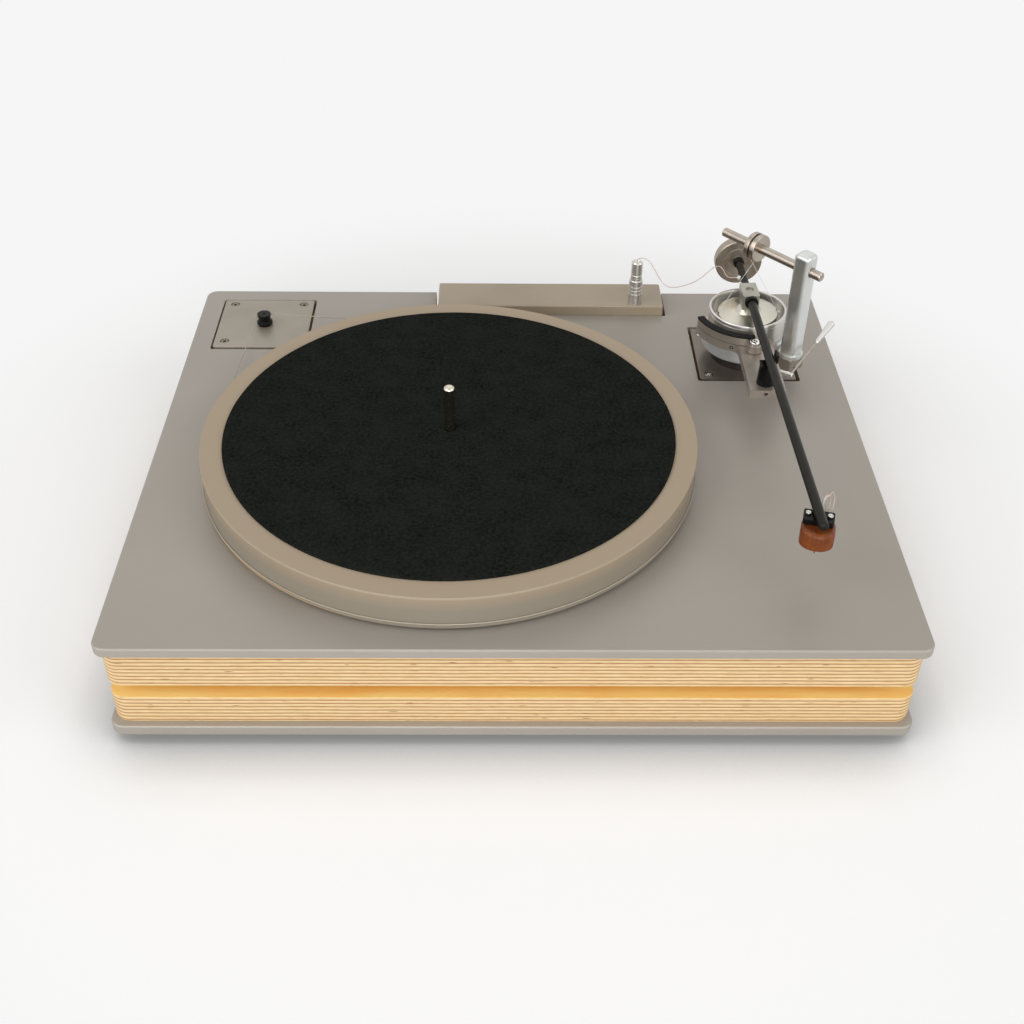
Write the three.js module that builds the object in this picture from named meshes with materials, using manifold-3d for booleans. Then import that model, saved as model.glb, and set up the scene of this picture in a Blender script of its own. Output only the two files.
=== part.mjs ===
// A belt-driven turntable whose arm hangs on two threads over a cup of damping fluid.
// Millimetres, +Z up. The origin is the centre of the base, on the surface the feet stand on.
// X runs along the front edge, Y towards the back. Deck heights are counted from the plate's top.
import * as THREE from "three";
import { mergeVertices } from "three/addons/utils/BufferGeometryUtils.js";
import Module from "manifold-3d";

const wasm = await Module();
wasm.setup();

// Clearances
const SEAT_GAP = 0.3;
const RUNNING_CLEARANCE = 0.05;
const CUT_OVERRUN = 1;
const MERGE_DISTANCE = 0.0001;

// Plinth: two metal plates with two plywood boards between them
const PLATE_WIDTH = 481;
const PLATE_DEPTH = 402;
const PLATE_CORNER_RADIUS = 8;
const PLATE_CHAMFER = 0.8;
const TOP_PLATE_THICKNESS = 7;
const BOTTOM_PLATE_THICKNESS = 7.6;
const BOARD_FRONT_INSET = 4.5;
const BOARD_SIDE_INSET = 2;
const BOARD_CORNER_RADIUS = 10;
const UPPER_BOARD_HEIGHT = 26.8;
const LOWER_BOARD_HEIGHT = 20.7;
const BOARD_GAP = 10;
const SPACER_INSET = 28;
const FOOT_HEIGHT = 8;
const FOOT_RADIUS = 19;
const FOOT_TAPER = 2;
const FOOT_INSET = 48;
const FOOT_RECESS_RADIUS = 7;
const FOOT_RECESS_DEPTH = 3;

// Platter, mat and bearing
const PLATTER_X = -41.2;
const PLATTER_BACK_INSET = 225;
const PLATTER_RADIUS = 161.8;
const PLATTER_THICKNESS = 24;
const PLATTER_LIFT = 1.7;
const PLATTER_CHAMFER = 0.8;
const MAT_RADIUS = 147.5;
const MAT_THICKNESS = 1.8;
const SPINDLE_RADIUS = 3.6;
const SPINDLE_RISE = 33;
const SPINDLE_DOME = 2.4;
const HUB_RADIUS = 20;
const HUB_THICKNESS = 5;
const JOURNAL_RADIUS = 6;
const JOURNAL_LENGTH = 38;
const JOURNAL_CHAMFER = 1;
const HOUSING_RADIUS = 16;
const HOUSING_FLANGE_RADIUS = 26;
const HOUSING_FLANGE_THICKNESS = 5;
const HOUSING_FLOOR = 3;

// Motor, its plate and the belt
const MOTOR_SIDE_INSET = 51.6;
const MOTOR_BACK_INSET = 50.35;
const MOTOR_CUT_SIZE = 72.6;
const MOTOR_PLATE_X = -0.4;
const MOTOR_PLATE_Y = 1.25;
const MOTOR_PLATE_SIZE = 69.4;
const MOTOR_PLATE_CORNER_RADIUS = 2.6;
const MOTOR_CUT_CORNER_RADIUS = 2;
const PLATE_INSERT_DROP = 0.2;
const MOTOR_RADIUS = 26;
const MOTOR_HEIGHT = 42;
const MOTOR_CHAMFER = 1.5;
const MOTOR_HOLE_CLEARANCE = 2;
const MOTOR_BOSS_RADIUS = 4.6;
const SHAFT_RADIUS = 2;
const SHAFT_DEPTH = 14;
const PULLEY_BOTTOM = 1;
const PULLEY_FLANGE_RADIUS = 6;
const PULLEY_FLANGE_THICKNESS = 1.6;
const PULLEY_WAIST_RADIUS = 4.6;
const PULLEY_TOP_RADIUS = 5.15;
const PULLEY_TOP_THICKNESS = 1.4;
const PULLEY_HEIGHT = 8;
const PULLEY_SLOPE = 0.9;
const PULLEY_CENTRE_HOLE_RADIUS = 1;
const PULLEY_CENTRE_HOLE_DEPTH = 0.6;
const BELT_RADIUS = 0.35;
const BELT_HEIGHT = 6;

// Cap screws in the two inset plates
const SCREW_HEAD_RADIUS = 3.1;
const SCREW_HEAD_HEIGHT = 2.4;
const SCREW_HEAD_DROP = 0.4;
const SCREW_HEAD_CHAMFER = 0.4;
const SCREW_SHANK_RADIUS = 1.6;
const SCREW_LENGTH = 14;
const SCREW_SOCKET_RADIUS = 1.45;
const SCREW_SOCKET_DEPTH = 1.4;
const MOTOR_SCREW_REACH = 26.9;
const MOTOR_SCREW_SHIFT = 1.4;
const ARM_SCREW_REACH = 27.8;

// Terminal block at the back and the arm wire's connector on it
const TERMINAL_X = 31.1;
const TERMINAL_WIDTH = 175;
const TERMINAL_DEPTH = 35;
const TERMINAL_RISE = 8.3;
const TERMINAL_DROP = 26;
const TERMINAL_CORNER_RADIUS = 1;
const TERMINAL_CHAMFER = 0.8;
const TERMINAL_SIDE_GAP = 2.3;
const JACK_DROP = 10;
const JACK_RECESS_RADIUS = 7.5;
const JACK_RECESS_DEPTH = 9.5;
const JACK_BASE_THICKNESS = 2;
const JACK_BARREL_RADIUS = 4.15;
const JACK_BORE_RADIUS = 1.7;
const JACK_BORE_DEPTH = 6;
const PHONO_X = 60;
const PHONO_SPACING = 19;
const GROUND_STUD_RADIUS = 2;
const GROUND_NUT_RADIUS = 4;
const GROUND_NUT_THICKNESS = 4;
const POWER_X = -62;
const POWER_BARREL_RADIUS = 5.6;
const POWER_BORE_RADIUS = 2.8;
const POWER_BORE_DEPTH = 7;
const POWER_PIN_RADIUS = 1;
const CONNECTOR_SHIFT = 65.5;
const CONNECTOR_FRONT_INSET = 6;
const CONNECTOR_BODY_RADIUS = 5.2;
const CONNECTOR_BODY_HEIGHT = 20.5;
const CONNECTOR_NECK_RADIUS = 4.5;
const CONNECTOR_NECK_HEIGHT = 2;
const CONNECTOR_GROOVE_DEPTH = 0.4;
const CONNECTOR_GROOVE_WIDTH = 0.7;
const CONNECTOR_GROOVE_PITCH = 3;
const CONNECTOR_GROOVE_START = 9;
const CONNECTOR_GROOVES = 3;
const CONNECTOR_PLUG_RADIUS = 4.35;
const CONNECTOR_PLUG_HEIGHT = 13.2;
const CONNECTOR_PLUG_CHAMFER = 1;
const CONNECTOR_OUTLET_RADIUS = 2.4;
const CONNECTOR_OUTLET_DEPTH = 1.2;
const ARM_WIRE_RADIUS = 0.3;

// Arm mount, fluid cup and gantry
const ARM_SIDE_INSET = 67.5;
const ARM_BACK_INSET = 89;
const ARM_CUT_SHIFT = 0.25;
const ARM_CUT_SIZE = 74.5;
const ARM_PLATE_SIZE = 70;
const PEDESTAL_RADIUS = 24;
const PEDESTAL_TOP = 9.5;
const COLLAR_RADIUS = 31;
const COLLAR_TOP = 22;
const COLLAR_CHAMFER = 0.8;
const LUG_WIDTH = 15;
const LUG_LENGTH = 21;
const LUG_HEIGHT = 10;
const LUG_CORNER_RADIUS = 2;
const CUP_RADIUS = 28.2;
const CUP_WALL = 2.2;
const CUP_TOP = 39.5;
const CUP_FLOOR = 3;
const CUP_RIM_CHAMFER = 0.5;
const GANTRY_TURN_DEG = -49;
const GANTRY_POST_OFFSET = 42.9;
const GANTRY_POST_SIZE = 12.8;
const GANTRY_POST_EDGE_RADIUS = 3.6;
const GANTRY_POST_CROWN = 3;
const GANTRY_POST_RISE = 12.2;
const GANTRY_FOOT_RADIUS = 8.6;
const GANTRY_FOOT_HEIGHT = 2.8;
const ROD_HEIGHT = 88.5;
const ROD_RADIUS = 3.25;
const ROD_CHAMFER = 0.6;
const ROD_FREE_LENGTH = 30.2;
const ROD_TAIL_LENGTH = 14.9;
const KNOB_RADIUS = 9.8;
const KNOB_FLANGE_THICKNESS = 3.5;
const KNOB_GROOVE_WIDTH = 1.8;
const KNOB_GROOVE_RADIUS = 7.2;
const KNOB_CHAMFER = 0.5;

// Swinging arm. Its heights are counted from the thread beads, which are the tilting axis
const TILT_AXIS_HEIGHT = 34.5;
const ARM_YAW_DEG = 0.95;
const ARM_ROLL_DEG = -2;
const BEAD_RADIUS = 1.4;
const BEAD_OFFSET = 22.8;
const FILAMENT_RADIUS = 0.15;
const FILAMENT_TOP_DROP = 5;
const FILAMENT_SPREAD = 7.3;
const FLOAT_RADIUS = 21.7;
const FLOAT_BOTTOM = -1.1;
const FLOAT_EDGE_TOP = 1.6;
const FLOAT_NECK_BASE = 3.4;
const FLOAT_NECK_BASE_RADIUS = 9.5;
const FLOAT_NECK_TOP_RADIUS = 5.2;
const FLOAT_NECK_TOP = 7.8;
const BLOCK_WIDTH = 12;
const BLOCK_LENGTH = 19;
const BLOCK_HEIGHT = 12;
const BLOCK_CORNER_RADIUS = 1;
const BLOCK_CHAMFER = 0.4;
const BLOCK_HOLE_RADIUS = 3;
const BLOCK_HOLE_DEPTH = 1.5;
const TUBE_HEIGHT = 15.2;
const TUBE_RADIUS = 3.1;
const TUBE_REACH = 264;
const TUBE_CAP_LENGTH = 2;
const BUSH_RADIUS = 4.6;
const BUSH_LENGTH = 2.8;
const STUB_RADIUS = 2.7;
const STUB_LENGTH = 63;
const STUB_CHAMFER = 0.5;
const WEIGHT_RADIUS = 17.5;
const WEIGHT_THICKNESS = 8;
const WEIGHT_OFFSET = 48.5;
const WEIGHT_CHAMFER = 0.6;
const WEIGHT_DISH_RADIUS = 16.4;
const WEIGHT_DISH_DEPTH = 1.6;
const WEIGHT_HUB_RADIUS = 5.4;
const WEIGHT_COLLAR_RADIUS = 3.9;
const WEIGHT_COLLAR_LENGTH = 3.2;
const WEIGHT_COLLAR_CHAMFER = 0.7;

// Headshell, cartridge and stylus. Depths are counted down from the tube's axis
const HEADSHELL_TURN_DEG = -15.8;
const HEADSHELL_X = 0.2;
const HEADSHELL_REACH = 250.5;
const HEADSHELL_WIDTH = 18;
const HEADSHELL_LENGTH = 10.4;
const HEADSHELL_CORNER_RADIUS = 1.2;
const HEADSHELL_TOP = 1.8;
const HEADSHELL_THICKNESS = 3.6;
const CARTRIDGE_X = 0.7;
const CARTRIDGE_WIDTH = 20;
const CARTRIDGE_HEIGHT = 13.2;
const CARTRIDGE_BACK = 3;
const CARTRIDGE_SIDE = 10;
const CARTRIDGE_NOSE = 7;
const CARTRIDGE_CHAMFER = 1;
const CARTRIDGE_SCREW_SPACING = 12.7;
const CARTRIDGE_SCREW_SHIFT = 0.1;
const CARTRIDGE_SCREW_HEAD_RADIUS = 1.7;
const CARTRIDGE_SCREW_HEAD_HEIGHT = 1.4;
const CARTRIDGE_SCREW_RADIUS = 1;
const CARTRIDGE_SCREW_DEPTH = 7;
const CARTRIDGE_SCREW_SLOT = 0.6;
const STYLUS_BLOCK_WIDTH = 4.4;
const STYLUS_BLOCK_LENGTH = 6;
const STYLUS_BLOCK_HEIGHT = 1.2;
const STYLUS_SHIFT = 6;
const CANTILEVER_RADIUS = 0.3;
const CANTILEVER_LENGTH = 5.4;
const CANTILEVER_DIP_DEG = 6;
const STYLUS_TIP_HEIGHT = 0.7;

// Arm lift: bracket, cam lever, piston, platform, and the parking rest
const BRACKET_BOTTOM = 24;
const BRACKET_THICKNESS = 6;
const BRACKET_RADIUS = 38.8;
const BRACKET_START_DEG = -166;
const BRACKET_END_DEG = -64;
const BRACKET_FILLET_RADIUS = 6;
const TONGUE_LEFT = 11.2;
const TONGUE_RIGHT = 13.5;
const TONGUE_REACH = 94.6;
const TONGUE_SCREW_RADIUS = 1.3;
const TONGUE_SCREW_DEPTH = 5;
const PLATFORM_BOTTOM = 30.3;
const PLATFORM_TOP = 36;
const PLATFORM_INNER_RADIUS = 33.5;
const PLATFORM_START_DEG = -165;
const PLATFORM_END_DEG = -90;
const PLATFORM_HUB_RADIUS = 5.6;
const PLATFORM_NECK_WIDTH = 8;
const PAD_THICKNESS = 1.8;
const PAD_INNER_RADIUS = 34.2;
const PAD_OUTER_RADIUS = 39.4;
const PISTON_X = -1.4;
const PISTON_Y = -44.2;
const PISTON_RADIUS = 3.5;
const PISTON_TOP = 38.2;
const PISTON_CHAMFER = 0.5;
const PISTON_SOCKET_RADIUS = 1.8;
const PISTON_SOCKET_DEPTH = 2.2;
const PISTON_TIP_RADIUS = 0.8;
const PISTON_TIP_LENGTH = 2.4;
const CAM_GAP = 0.4;
const CAM_BASE_RADIUS = 2.4;
const CAM_THICKNESS = 4;
const CAM_SIDE_GAP = 0.5;
const LIFT_TRAVEL = 5;
const LEVER_TRAVEL_DEG = 60;
const CAM_NOSE_DEG = 12;
const CAM_RETURN_DEG = 70;
const CAM_HOUSING_WALL = 2.6;
const CAM_HOUSING_BOTTOM = 15;
const CAM_CAVITY_TOP = 27.4;
const AXLE_HEIGHT = 19.5;
const AXLE_RADIUS = 2;
const AXLE_TURN_DEG = -31;
const AXLE_INNER_LENGTH = 4.8;
const AXLE_OUTER_LENGTH = 31;
const AXLE_CHAMFER = 0.4;
const LEVER_SETBACK = 2;
const LEVER_ROD_RADIUS = 0.9;
const LEVER_ROD_LENGTH = 38;
const LEVER_AZIMUTH_DEG = 53.8;
const LEVER_RISE_DEG = 10;
const HANDLE_LENGTH = 25;
const HANDLE_THIN_RADIUS = 1.5;
const HANDLE_THICK_RADIUS = 2.65;
const HANDLE_ROUNDING = 0.5;
const REST_X = 0.7;
const REST_Y = -84.5;
const REST_POST_RADIUS = 6.4;
const REST_POST_TOP_RADIUS = 5.6;
const REST_CLIP_GAP = 0.8;
const REST_CLIP_WALL = 1.6;
const REST_CLIP_LENGTH = 8;
const REST_CLIP_LIP = 5.4;
const REST_CLIP_RISE = 4;

// How finely round forms are divided
const HUGE_SEGMENTS = 80;
const LARGE_SEGMENTS = 48;
const MEDIUM_SEGMENTS = 32;
const SMALL_SEGMENTS = 20;
const TINY_SEGMENTS = 12;
const CORNER_SEGMENTS = 4;
const HEX_SIDES = 6;
const BELT_SIDES = 6;
const BELT_PULLEY_STEPS = 8;
const WIRE_SIDES = 8;
const WIRE_STEPS = 60;
const CAM_STEPS = 6;

// The free arm wire from the connector's outlet to the tube, counted from the plate's top centre
const ARM_WIRE_ROUTE = [
  [96.6, 172, 43.9],
  [97.2, 171.8, 46],
  [99.4, 171.2, 47.2],
  [103, 170, 46.8],
  [106.3, 168.4, 44.4],
  [109.6, 166.9, 39.6],
  [113.4, 165.1, 33.6],
  [117, 163.5, 29.4],
  [120.6, 161.9, 27.8],
  [124.2, 160.1, 28.3],
  [128, 158.2, 30],
  [133, 155.6, 33],
  [138, 152.9, 37],
  [142.8, 150.2, 42.2],
  [146.7, 148, 47.9],
  [149.9, 146, 52.7],
  [152.5, 144.6, 55],
  [155.1, 143.3, 55.3],
  [157.5, 142.1, 53],
  [159.1, 141.4, 50.2],
  [161.2, 140.5, 48.4],
  [163.8, 139.2, 48.6],
  [166.3, 138.1, 49.4],
  [168.8, 137.3, 49.8],
];

// Finishes: colour, roughness, metalness
const FINISHES = {
  plate: { color: 0x9a968f, roughness: 0.45, metalness: 0.6 },
  insetPlate: { color: 0xa69e90, roughness: 0.4, metalness: 0.6 },
  terminal: { color: 0x9c8d7c, roughness: 0.4, metalness: 0.7 },
  plywood: { color: 0xddbe8e, roughness: 0.6, metalness: 0 },
  paleWood: { color: 0xe8c27c, roughness: 0.6, metalness: 0 },
  rubber: { color: 0x1c1c1c, roughness: 0.9, metalness: 0 },
  acrylic: { color: 0xb5a78f, roughness: 0.45, metalness: 0 },
  suede: { color: 0x1e201e, roughness: 1, metalness: 0 },
  steel: { color: 0xb8b5ae, roughness: 0.25, metalness: 1 },
  darkSteel: { color: 0x3a3835, roughness: 0.35, metalness: 0.9 },
  chrome: { color: 0xd8d8d4, roughness: 0.12, metalness: 1 },
  aluminium: { color: 0xc4c3bb, roughness: 0.35, metalness: 0.9 },
  bronzeSteel: { color: 0x9a8878, roughness: 0.3, metalness: 1 },
  brass: { color: 0xb9974e, roughness: 0.3, metalness: 1 },
  blackPlastic: { color: 0x141414, roughness: 0.4, metalness: 0 },
  carbon: { color: 0x222422, roughness: 0.35, metalness: 0.2 },
  rosewood: { color: 0xa4521f, roughness: 0.35, metalness: 0 },
  nylon: { color: 0xe9e9e4, roughness: 0.5, metalness: 0 },
  wire: { color: 0xc9a9a0, roughness: 0.5, metalness: 0 },
};

// Heights of the layers, from the standing surface up
const bottomPlateTop = FOOT_HEIGHT + BOTTOM_PLATE_THICKNESS;
const lowerBoardTop = bottomPlateTop + LOWER_BOARD_HEIGHT;
const spacerTop = lowerBoardTop + BOARD_GAP;
const upperBoardTop = spacerTop + UPPER_BOARD_HEIGHT;
const plateTop = upperBoardTop + TOP_PLATE_THICKNESS;

// Places on the deck, kept from the plate's back and side edges
const plateBack = PLATE_DEPTH / 2;
const plateRight = PLATE_WIDTH / 2;
const platterY = plateBack - PLATTER_BACK_INSET;
const motorX = MOTOR_SIDE_INSET - plateRight;
const motorY = plateBack - MOTOR_BACK_INSET;
const pivotX = plateRight - ARM_SIDE_INSET;
const pivotY = plateBack - ARM_BACK_INSET;

// Closed geometry to a solid that can be cut and joined
function toSolid(geometry) {
  const bare = geometry.index ? geometry.toNonIndexed() : geometry.clone();
  bare.deleteAttribute("normal");
  bare.deleteAttribute("uv");
  const merged = mergeVertices(bare, MERGE_DISTANCE);
  const mesh = new wasm.Mesh({
    numProp: 3,
    vertProperties: merged.attributes.position.array,
    triVerts: new Uint32Array(merged.index.array),
  });
  return new wasm.Manifold(mesh);
}

function toGeometry(solid) {
  const mesh = solid.getMesh();
  const positions = new Float32Array(mesh.numVert * 3);
  for (let i = 0; i < mesh.numVert; i++) {
    positions.set(mesh.vertProperties.subarray(i * mesh.numProp, i * mesh.numProp + 3), i * 3);
  }
  const geometry = new THREE.BufferGeometry();
  geometry.setAttribute("position", new THREE.BufferAttribute(positions, 3));
  geometry.setIndex(new THREE.BufferAttribute(new Uint32Array(mesh.triVerts), 1));
  return geometry;
}

function cut(body, ...tools) {
  let solid = toSolid(body);
  for (const tool of tools) solid = solid.subtract(toSolid(tool));
  return toGeometry(solid);
}

function join(...bodies) {
  let solid = toSolid(bodies[0]);
  for (const body of bodies.slice(1)) solid = solid.add(toSolid(body));
  return toGeometry(solid);
}

// The radius of a round hole's corners, so that its flats clear the shaft
function holeRadius(shaftRadius, clearance, segments) {
  return (shaftRadius + clearance) / Math.cos(Math.PI / segments);
}

function radians(degrees) {
  return THREE.MathUtils.degToRad(degrees);
}

// A profile of [radius, height] turned about Z, listed upwards along the outside
function turned(profile, segments) {
  const points = profile.map(([radius, height]) => new THREE.Vector2(radius, height));
  return new THREE.LatheGeometry(points, segments).rotateX(Math.PI / 2);
}

function turnedRing(profile, segments) {
  return turned([...profile, profile[0]], segments);
}

function cylinder(radius, bottom, top, segments) {
  return turned([[0, bottom], [radius, bottom], [radius, top], [0, top]], segments);
}

function roundedRectangle(width, depth, radius) {
  const x = width / 2;
  const y = depth / 2;
  const shape = new THREE.Shape();
  shape.absarc(x - radius, radius - y, radius, -Math.PI / 2, 0);
  shape.absarc(x - radius, y - radius, radius, 0, Math.PI / 2);
  shape.absarc(radius - x, y - radius, radius, Math.PI / 2, Math.PI);
  shape.absarc(radius - x, radius - y, radius, Math.PI, Math.PI * 1.5);
  shape.closePath();
  return shape;
}

function prism(shape, bottom, top) {
  const settings = { depth: top - bottom, bevelEnabled: false, curveSegments: CORNER_SEGMENTS };
  return new THREE.ExtrudeGeometry(shape, settings).translate(0, 0, bottom);
}

// A prism with its top and bottom edges chamfered, or rounded by more bevel steps
function bevelledPrism(shape, bottom, top, bevel, bevelSteps) {
  const settings = {
    depth: top - bottom - 2 * bevel,
    bevelThickness: bevel,
    bevelSize: bevel,
    bevelOffset: -bevel,
    bevelSegments: bevelSteps,
    curveSegments: CORNER_SEGMENTS,
  };
  return new THREE.ExtrudeGeometry(shape, settings).translate(0, 0, bottom + bevel);
}

// A flat sector of a ring between two angles
function ringSector(innerRadius, outerRadius, startDeg, endDeg, bottom, top) {
  const shape = new THREE.Shape();
  shape.absarc(0, 0, outerRadius, radians(startDeg), radians(endDeg), false);
  shape.absarc(0, 0, innerRadius, radians(endDeg), radians(startDeg), true);
  shape.closePath();
  const settings = { depth: top - bottom, bevelEnabled: false, curveSegments: SMALL_SEGMENTS };
  return new THREE.ExtrudeGeometry(shape, settings).translate(0, 0, bottom);
}

function addPiece(parent, name, geometry, finish) {
  const mesh = new THREE.Mesh(geometry, new THREE.MeshStandardMaterial(FINISHES[finish]));
  mesh.name = name;
  parent.add(mesh);
  return mesh;
}

function addGroup(parent, x, y, z) {
  const group = new THREE.Group();
  group.position.set(x, y, z);
  parent.add(group);
  return group;
}

// The four corners of a square of screws, moved as a whole from the centre by the shift
function squareCorners(reach, shiftX, shiftY) {
  return [
    [shiftX - reach, shiftY - reach],
    [shiftX + reach, shiftY - reach],
    [shiftX - reach, shiftY + reach],
    [shiftX + reach, shiftY + reach],
  ];
}

const motorCorners = squareCorners(
  MOTOR_SCREW_REACH, MOTOR_PLATE_X, MOTOR_PLATE_Y + MOTOR_SCREW_SHIFT);
const armCorners = squareCorners(ARM_SCREW_REACH, 0, 0);
const insetPlateBottom = -TOP_PLATE_THICKNESS;
const insetPlateTop = -PLATE_INSERT_DROP;
const screwHeadTop = insetPlateTop - SCREW_HEAD_DROP;
const screwHeadBottom = screwHeadTop - SCREW_HEAD_HEIGHT;
const screwTip = screwHeadTop - SCREW_LENGTH;

// The hole for a cap screw, in deck heights: counterbore, shank and a closed end in the board
function screwHole(x, y) {
  const head = cylinder(
    SCREW_HEAD_RADIUS + SEAT_GAP, screwHeadBottom - SEAT_GAP, CUT_OVERRUN, TINY_SEGMENTS);
  const shank = cylinder(
    SCREW_SHANK_RADIUS + SEAT_GAP, screwTip - SEAT_GAP, screwHeadBottom, TINY_SEGMENTS);
  return join(head, shank).translate(x, y, 0);
}

function capScrew() {
  const body = turned([
    [0, screwTip],
    [SCREW_SHANK_RADIUS, screwTip],
    [SCREW_SHANK_RADIUS, screwHeadBottom],
    [SCREW_HEAD_RADIUS, screwHeadBottom],
    [SCREW_HEAD_RADIUS, screwHeadTop - SCREW_HEAD_CHAMFER],
    [SCREW_HEAD_RADIUS - SCREW_HEAD_CHAMFER, screwHeadTop],
    [0, screwHeadTop],
  ], TINY_SEGMENTS);
  const socket = cylinder(
    SCREW_SOCKET_RADIUS, screwHeadTop - SCREW_SOCKET_DEPTH, screwHeadTop + CUT_OVERRUN, HEX_SIDES);
  return cut(body, socket);
}

function addScrews(parent, baseName, centreX, centreY, corners) {
  corners.forEach(([x, y], i) => {
    const screw = addPiece(parent, `${baseName}_${i + 1}`, capScrew(), "steel");
    screw.position.set(centreX + x, centreY + y, 0);
  });
}

function screwHoles(centreX, centreY, corners) {
  return corners.map(([x, y]) => screwHole(centreX + x, centreY + y));
}

const boardWidth = PLATE_WIDTH - 2 * BOARD_SIDE_INSET;
const boardDepth = PLATE_DEPTH - 2 * BOARD_FRONT_INSET;
const motorHoleRadius = MOTOR_RADIUS + MOTOR_HOLE_CLEARANCE;
const terminalFront = plateBack - TERMINAL_DEPTH;

// The notch that the terminal block sits in, open at the back
function terminalNotch(bottom, top) {
  const width = TERMINAL_WIDTH + 2 * TERMINAL_SIDE_GAP;
  const front = terminalFront - SEAT_GAP;
  const depth = PLATE_DEPTH / 2 + CUT_OVERRUN - front;
  const notch = new THREE.BoxGeometry(width, depth, top - bottom);
  return notch.translate(TERMINAL_X, front + depth / 2, (bottom + top) / 2);
}

function motorHole(bottom, top) {
  return cylinder(motorHoleRadius, bottom, top, MEDIUM_SEGMENTS).translate(motorX, motorY, 0);
}

function bearingHole(radius, bottom, top) {
  return cylinder(radius + SEAT_GAP, bottom, top, MEDIUM_SEGMENTS).translate(PLATTER_X, platterY, 0);
}

function foot() {
  const flatRadius = FOOT_RADIUS - FOOT_TAPER;
  return turned([
    [0, FOOT_RECESS_DEPTH],
    [FOOT_RECESS_RADIUS, FOOT_RECESS_DEPTH],
    [FOOT_RECESS_RADIUS, 0],
    [flatRadius, 0],
    [FOOT_RADIUS, FOOT_HEIGHT - FOOT_TAPER],
    [FOOT_RADIUS, FOOT_HEIGHT],
    [0, FOOT_HEIGHT],
  ], SMALL_SEGMENTS);
}

function addFeet(parent) {
  const x = PLATE_WIDTH / 2 - FOOT_INSET;
  const y = PLATE_DEPTH / 2 - FOOT_INSET;
  addPiece(parent, "foot_front_left", foot(), "rubber").position.set(-x, -y, 0);
  addPiece(parent, "foot_front_right", foot(), "rubber").position.set(x, -y, 0);
  addPiece(parent, "foot_back_left", foot(), "rubber").position.set(-x, y, 0);
  addPiece(parent, "foot_back_right", foot(), "rubber").position.set(x, y, 0);
}

function addBoards(parent) {
  const outline = roundedRectangle(boardWidth, boardDepth, BOARD_CORNER_RADIUS);
  const motorFloor = plateTop - TOP_PLATE_THICKNESS - MOTOR_HEIGHT - MOTOR_HOLE_CLEARANCE;
  const lower = cut(
    prism(outline, bottomPlateTop, lowerBoardTop),
    motorHole(motorFloor, lowerBoardTop + CUT_OVERRUN),
  );
  addPiece(parent, "lower_board", lower, "plywood");

  const spacerOutline = roundedRectangle(
    boardWidth - 2 * SPACER_INSET, boardDepth - 2 * SPACER_INSET, BOARD_CORNER_RADIUS);
  const spacer = cut(
    prism(spacerOutline, lowerBoardTop, spacerTop),
    bearingHole(HOUSING_RADIUS, lowerBoardTop - CUT_OVERRUN, spacerTop + CUT_OVERRUN),
    motorHole(lowerBoardTop - CUT_OVERRUN, spacerTop + CUT_OVERRUN),
  );
  addPiece(parent, "board_spacer", spacer, "paleWood");

  const screws = [
    ...screwHoles(motorX, motorY, motorCorners),
    ...screwHoles(pivotX, pivotY, armCorners),
  ];
  const upper = cut(
    prism(outline, spacerTop, upperBoardTop),
    bearingHole(HOUSING_RADIUS, spacerTop - CUT_OVERRUN, upperBoardTop + CUT_OVERRUN),
    motorHole(spacerTop - CUT_OVERRUN, upperBoardTop + CUT_OVERRUN),
    terminalNotch(plateTop - TERMINAL_DROP, upperBoardTop + CUT_OVERRUN),
    ...screws.map((hole) => hole.translate(0, 0, plateTop)),
  );
  addPiece(parent, "upper_board", upper, "plywood");
}

function addPlinth(parent) {
  addFeet(parent);
  const outline = roundedRectangle(PLATE_WIDTH, PLATE_DEPTH, PLATE_CORNER_RADIUS);
  const bottomPlate = bevelledPrism(outline, FOOT_HEIGHT, bottomPlateTop, PLATE_CHAMFER, 1);
  addPiece(parent, "bottom_plate", bottomPlate, "plate");
  addBoards(parent);
}

function addTopPlate(deck) {
  const outline = roundedRectangle(PLATE_WIDTH, PLATE_DEPTH, PLATE_CORNER_RADIUS);
  const below = -TOP_PLATE_THICKNESS - CUT_OVERRUN;
  const motorCut = prism(
    roundedRectangle(MOTOR_CUT_SIZE, MOTOR_CUT_SIZE, MOTOR_CUT_CORNER_RADIUS), below, CUT_OVERRUN);
  const armCut = prism(
    roundedRectangle(ARM_CUT_SIZE, ARM_CUT_SIZE, MOTOR_CUT_CORNER_RADIUS), below, CUT_OVERRUN);
  const plate = cut(
    bevelledPrism(outline, -TOP_PLATE_THICKNESS, 0, PLATE_CHAMFER, 1),
    motorCut.translate(motorX, motorY, 0),
    armCut.translate(pivotX + ARM_CUT_SHIFT, pivotY - ARM_CUT_SHIFT, 0),
    terminalNotch(below, CUT_OVERRUN),
    bearingHole(HOUSING_FLANGE_RADIUS, below, CUT_OVERRUN),
  );
  addPiece(deck, "top_plate", plate, "plate");
}

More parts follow.
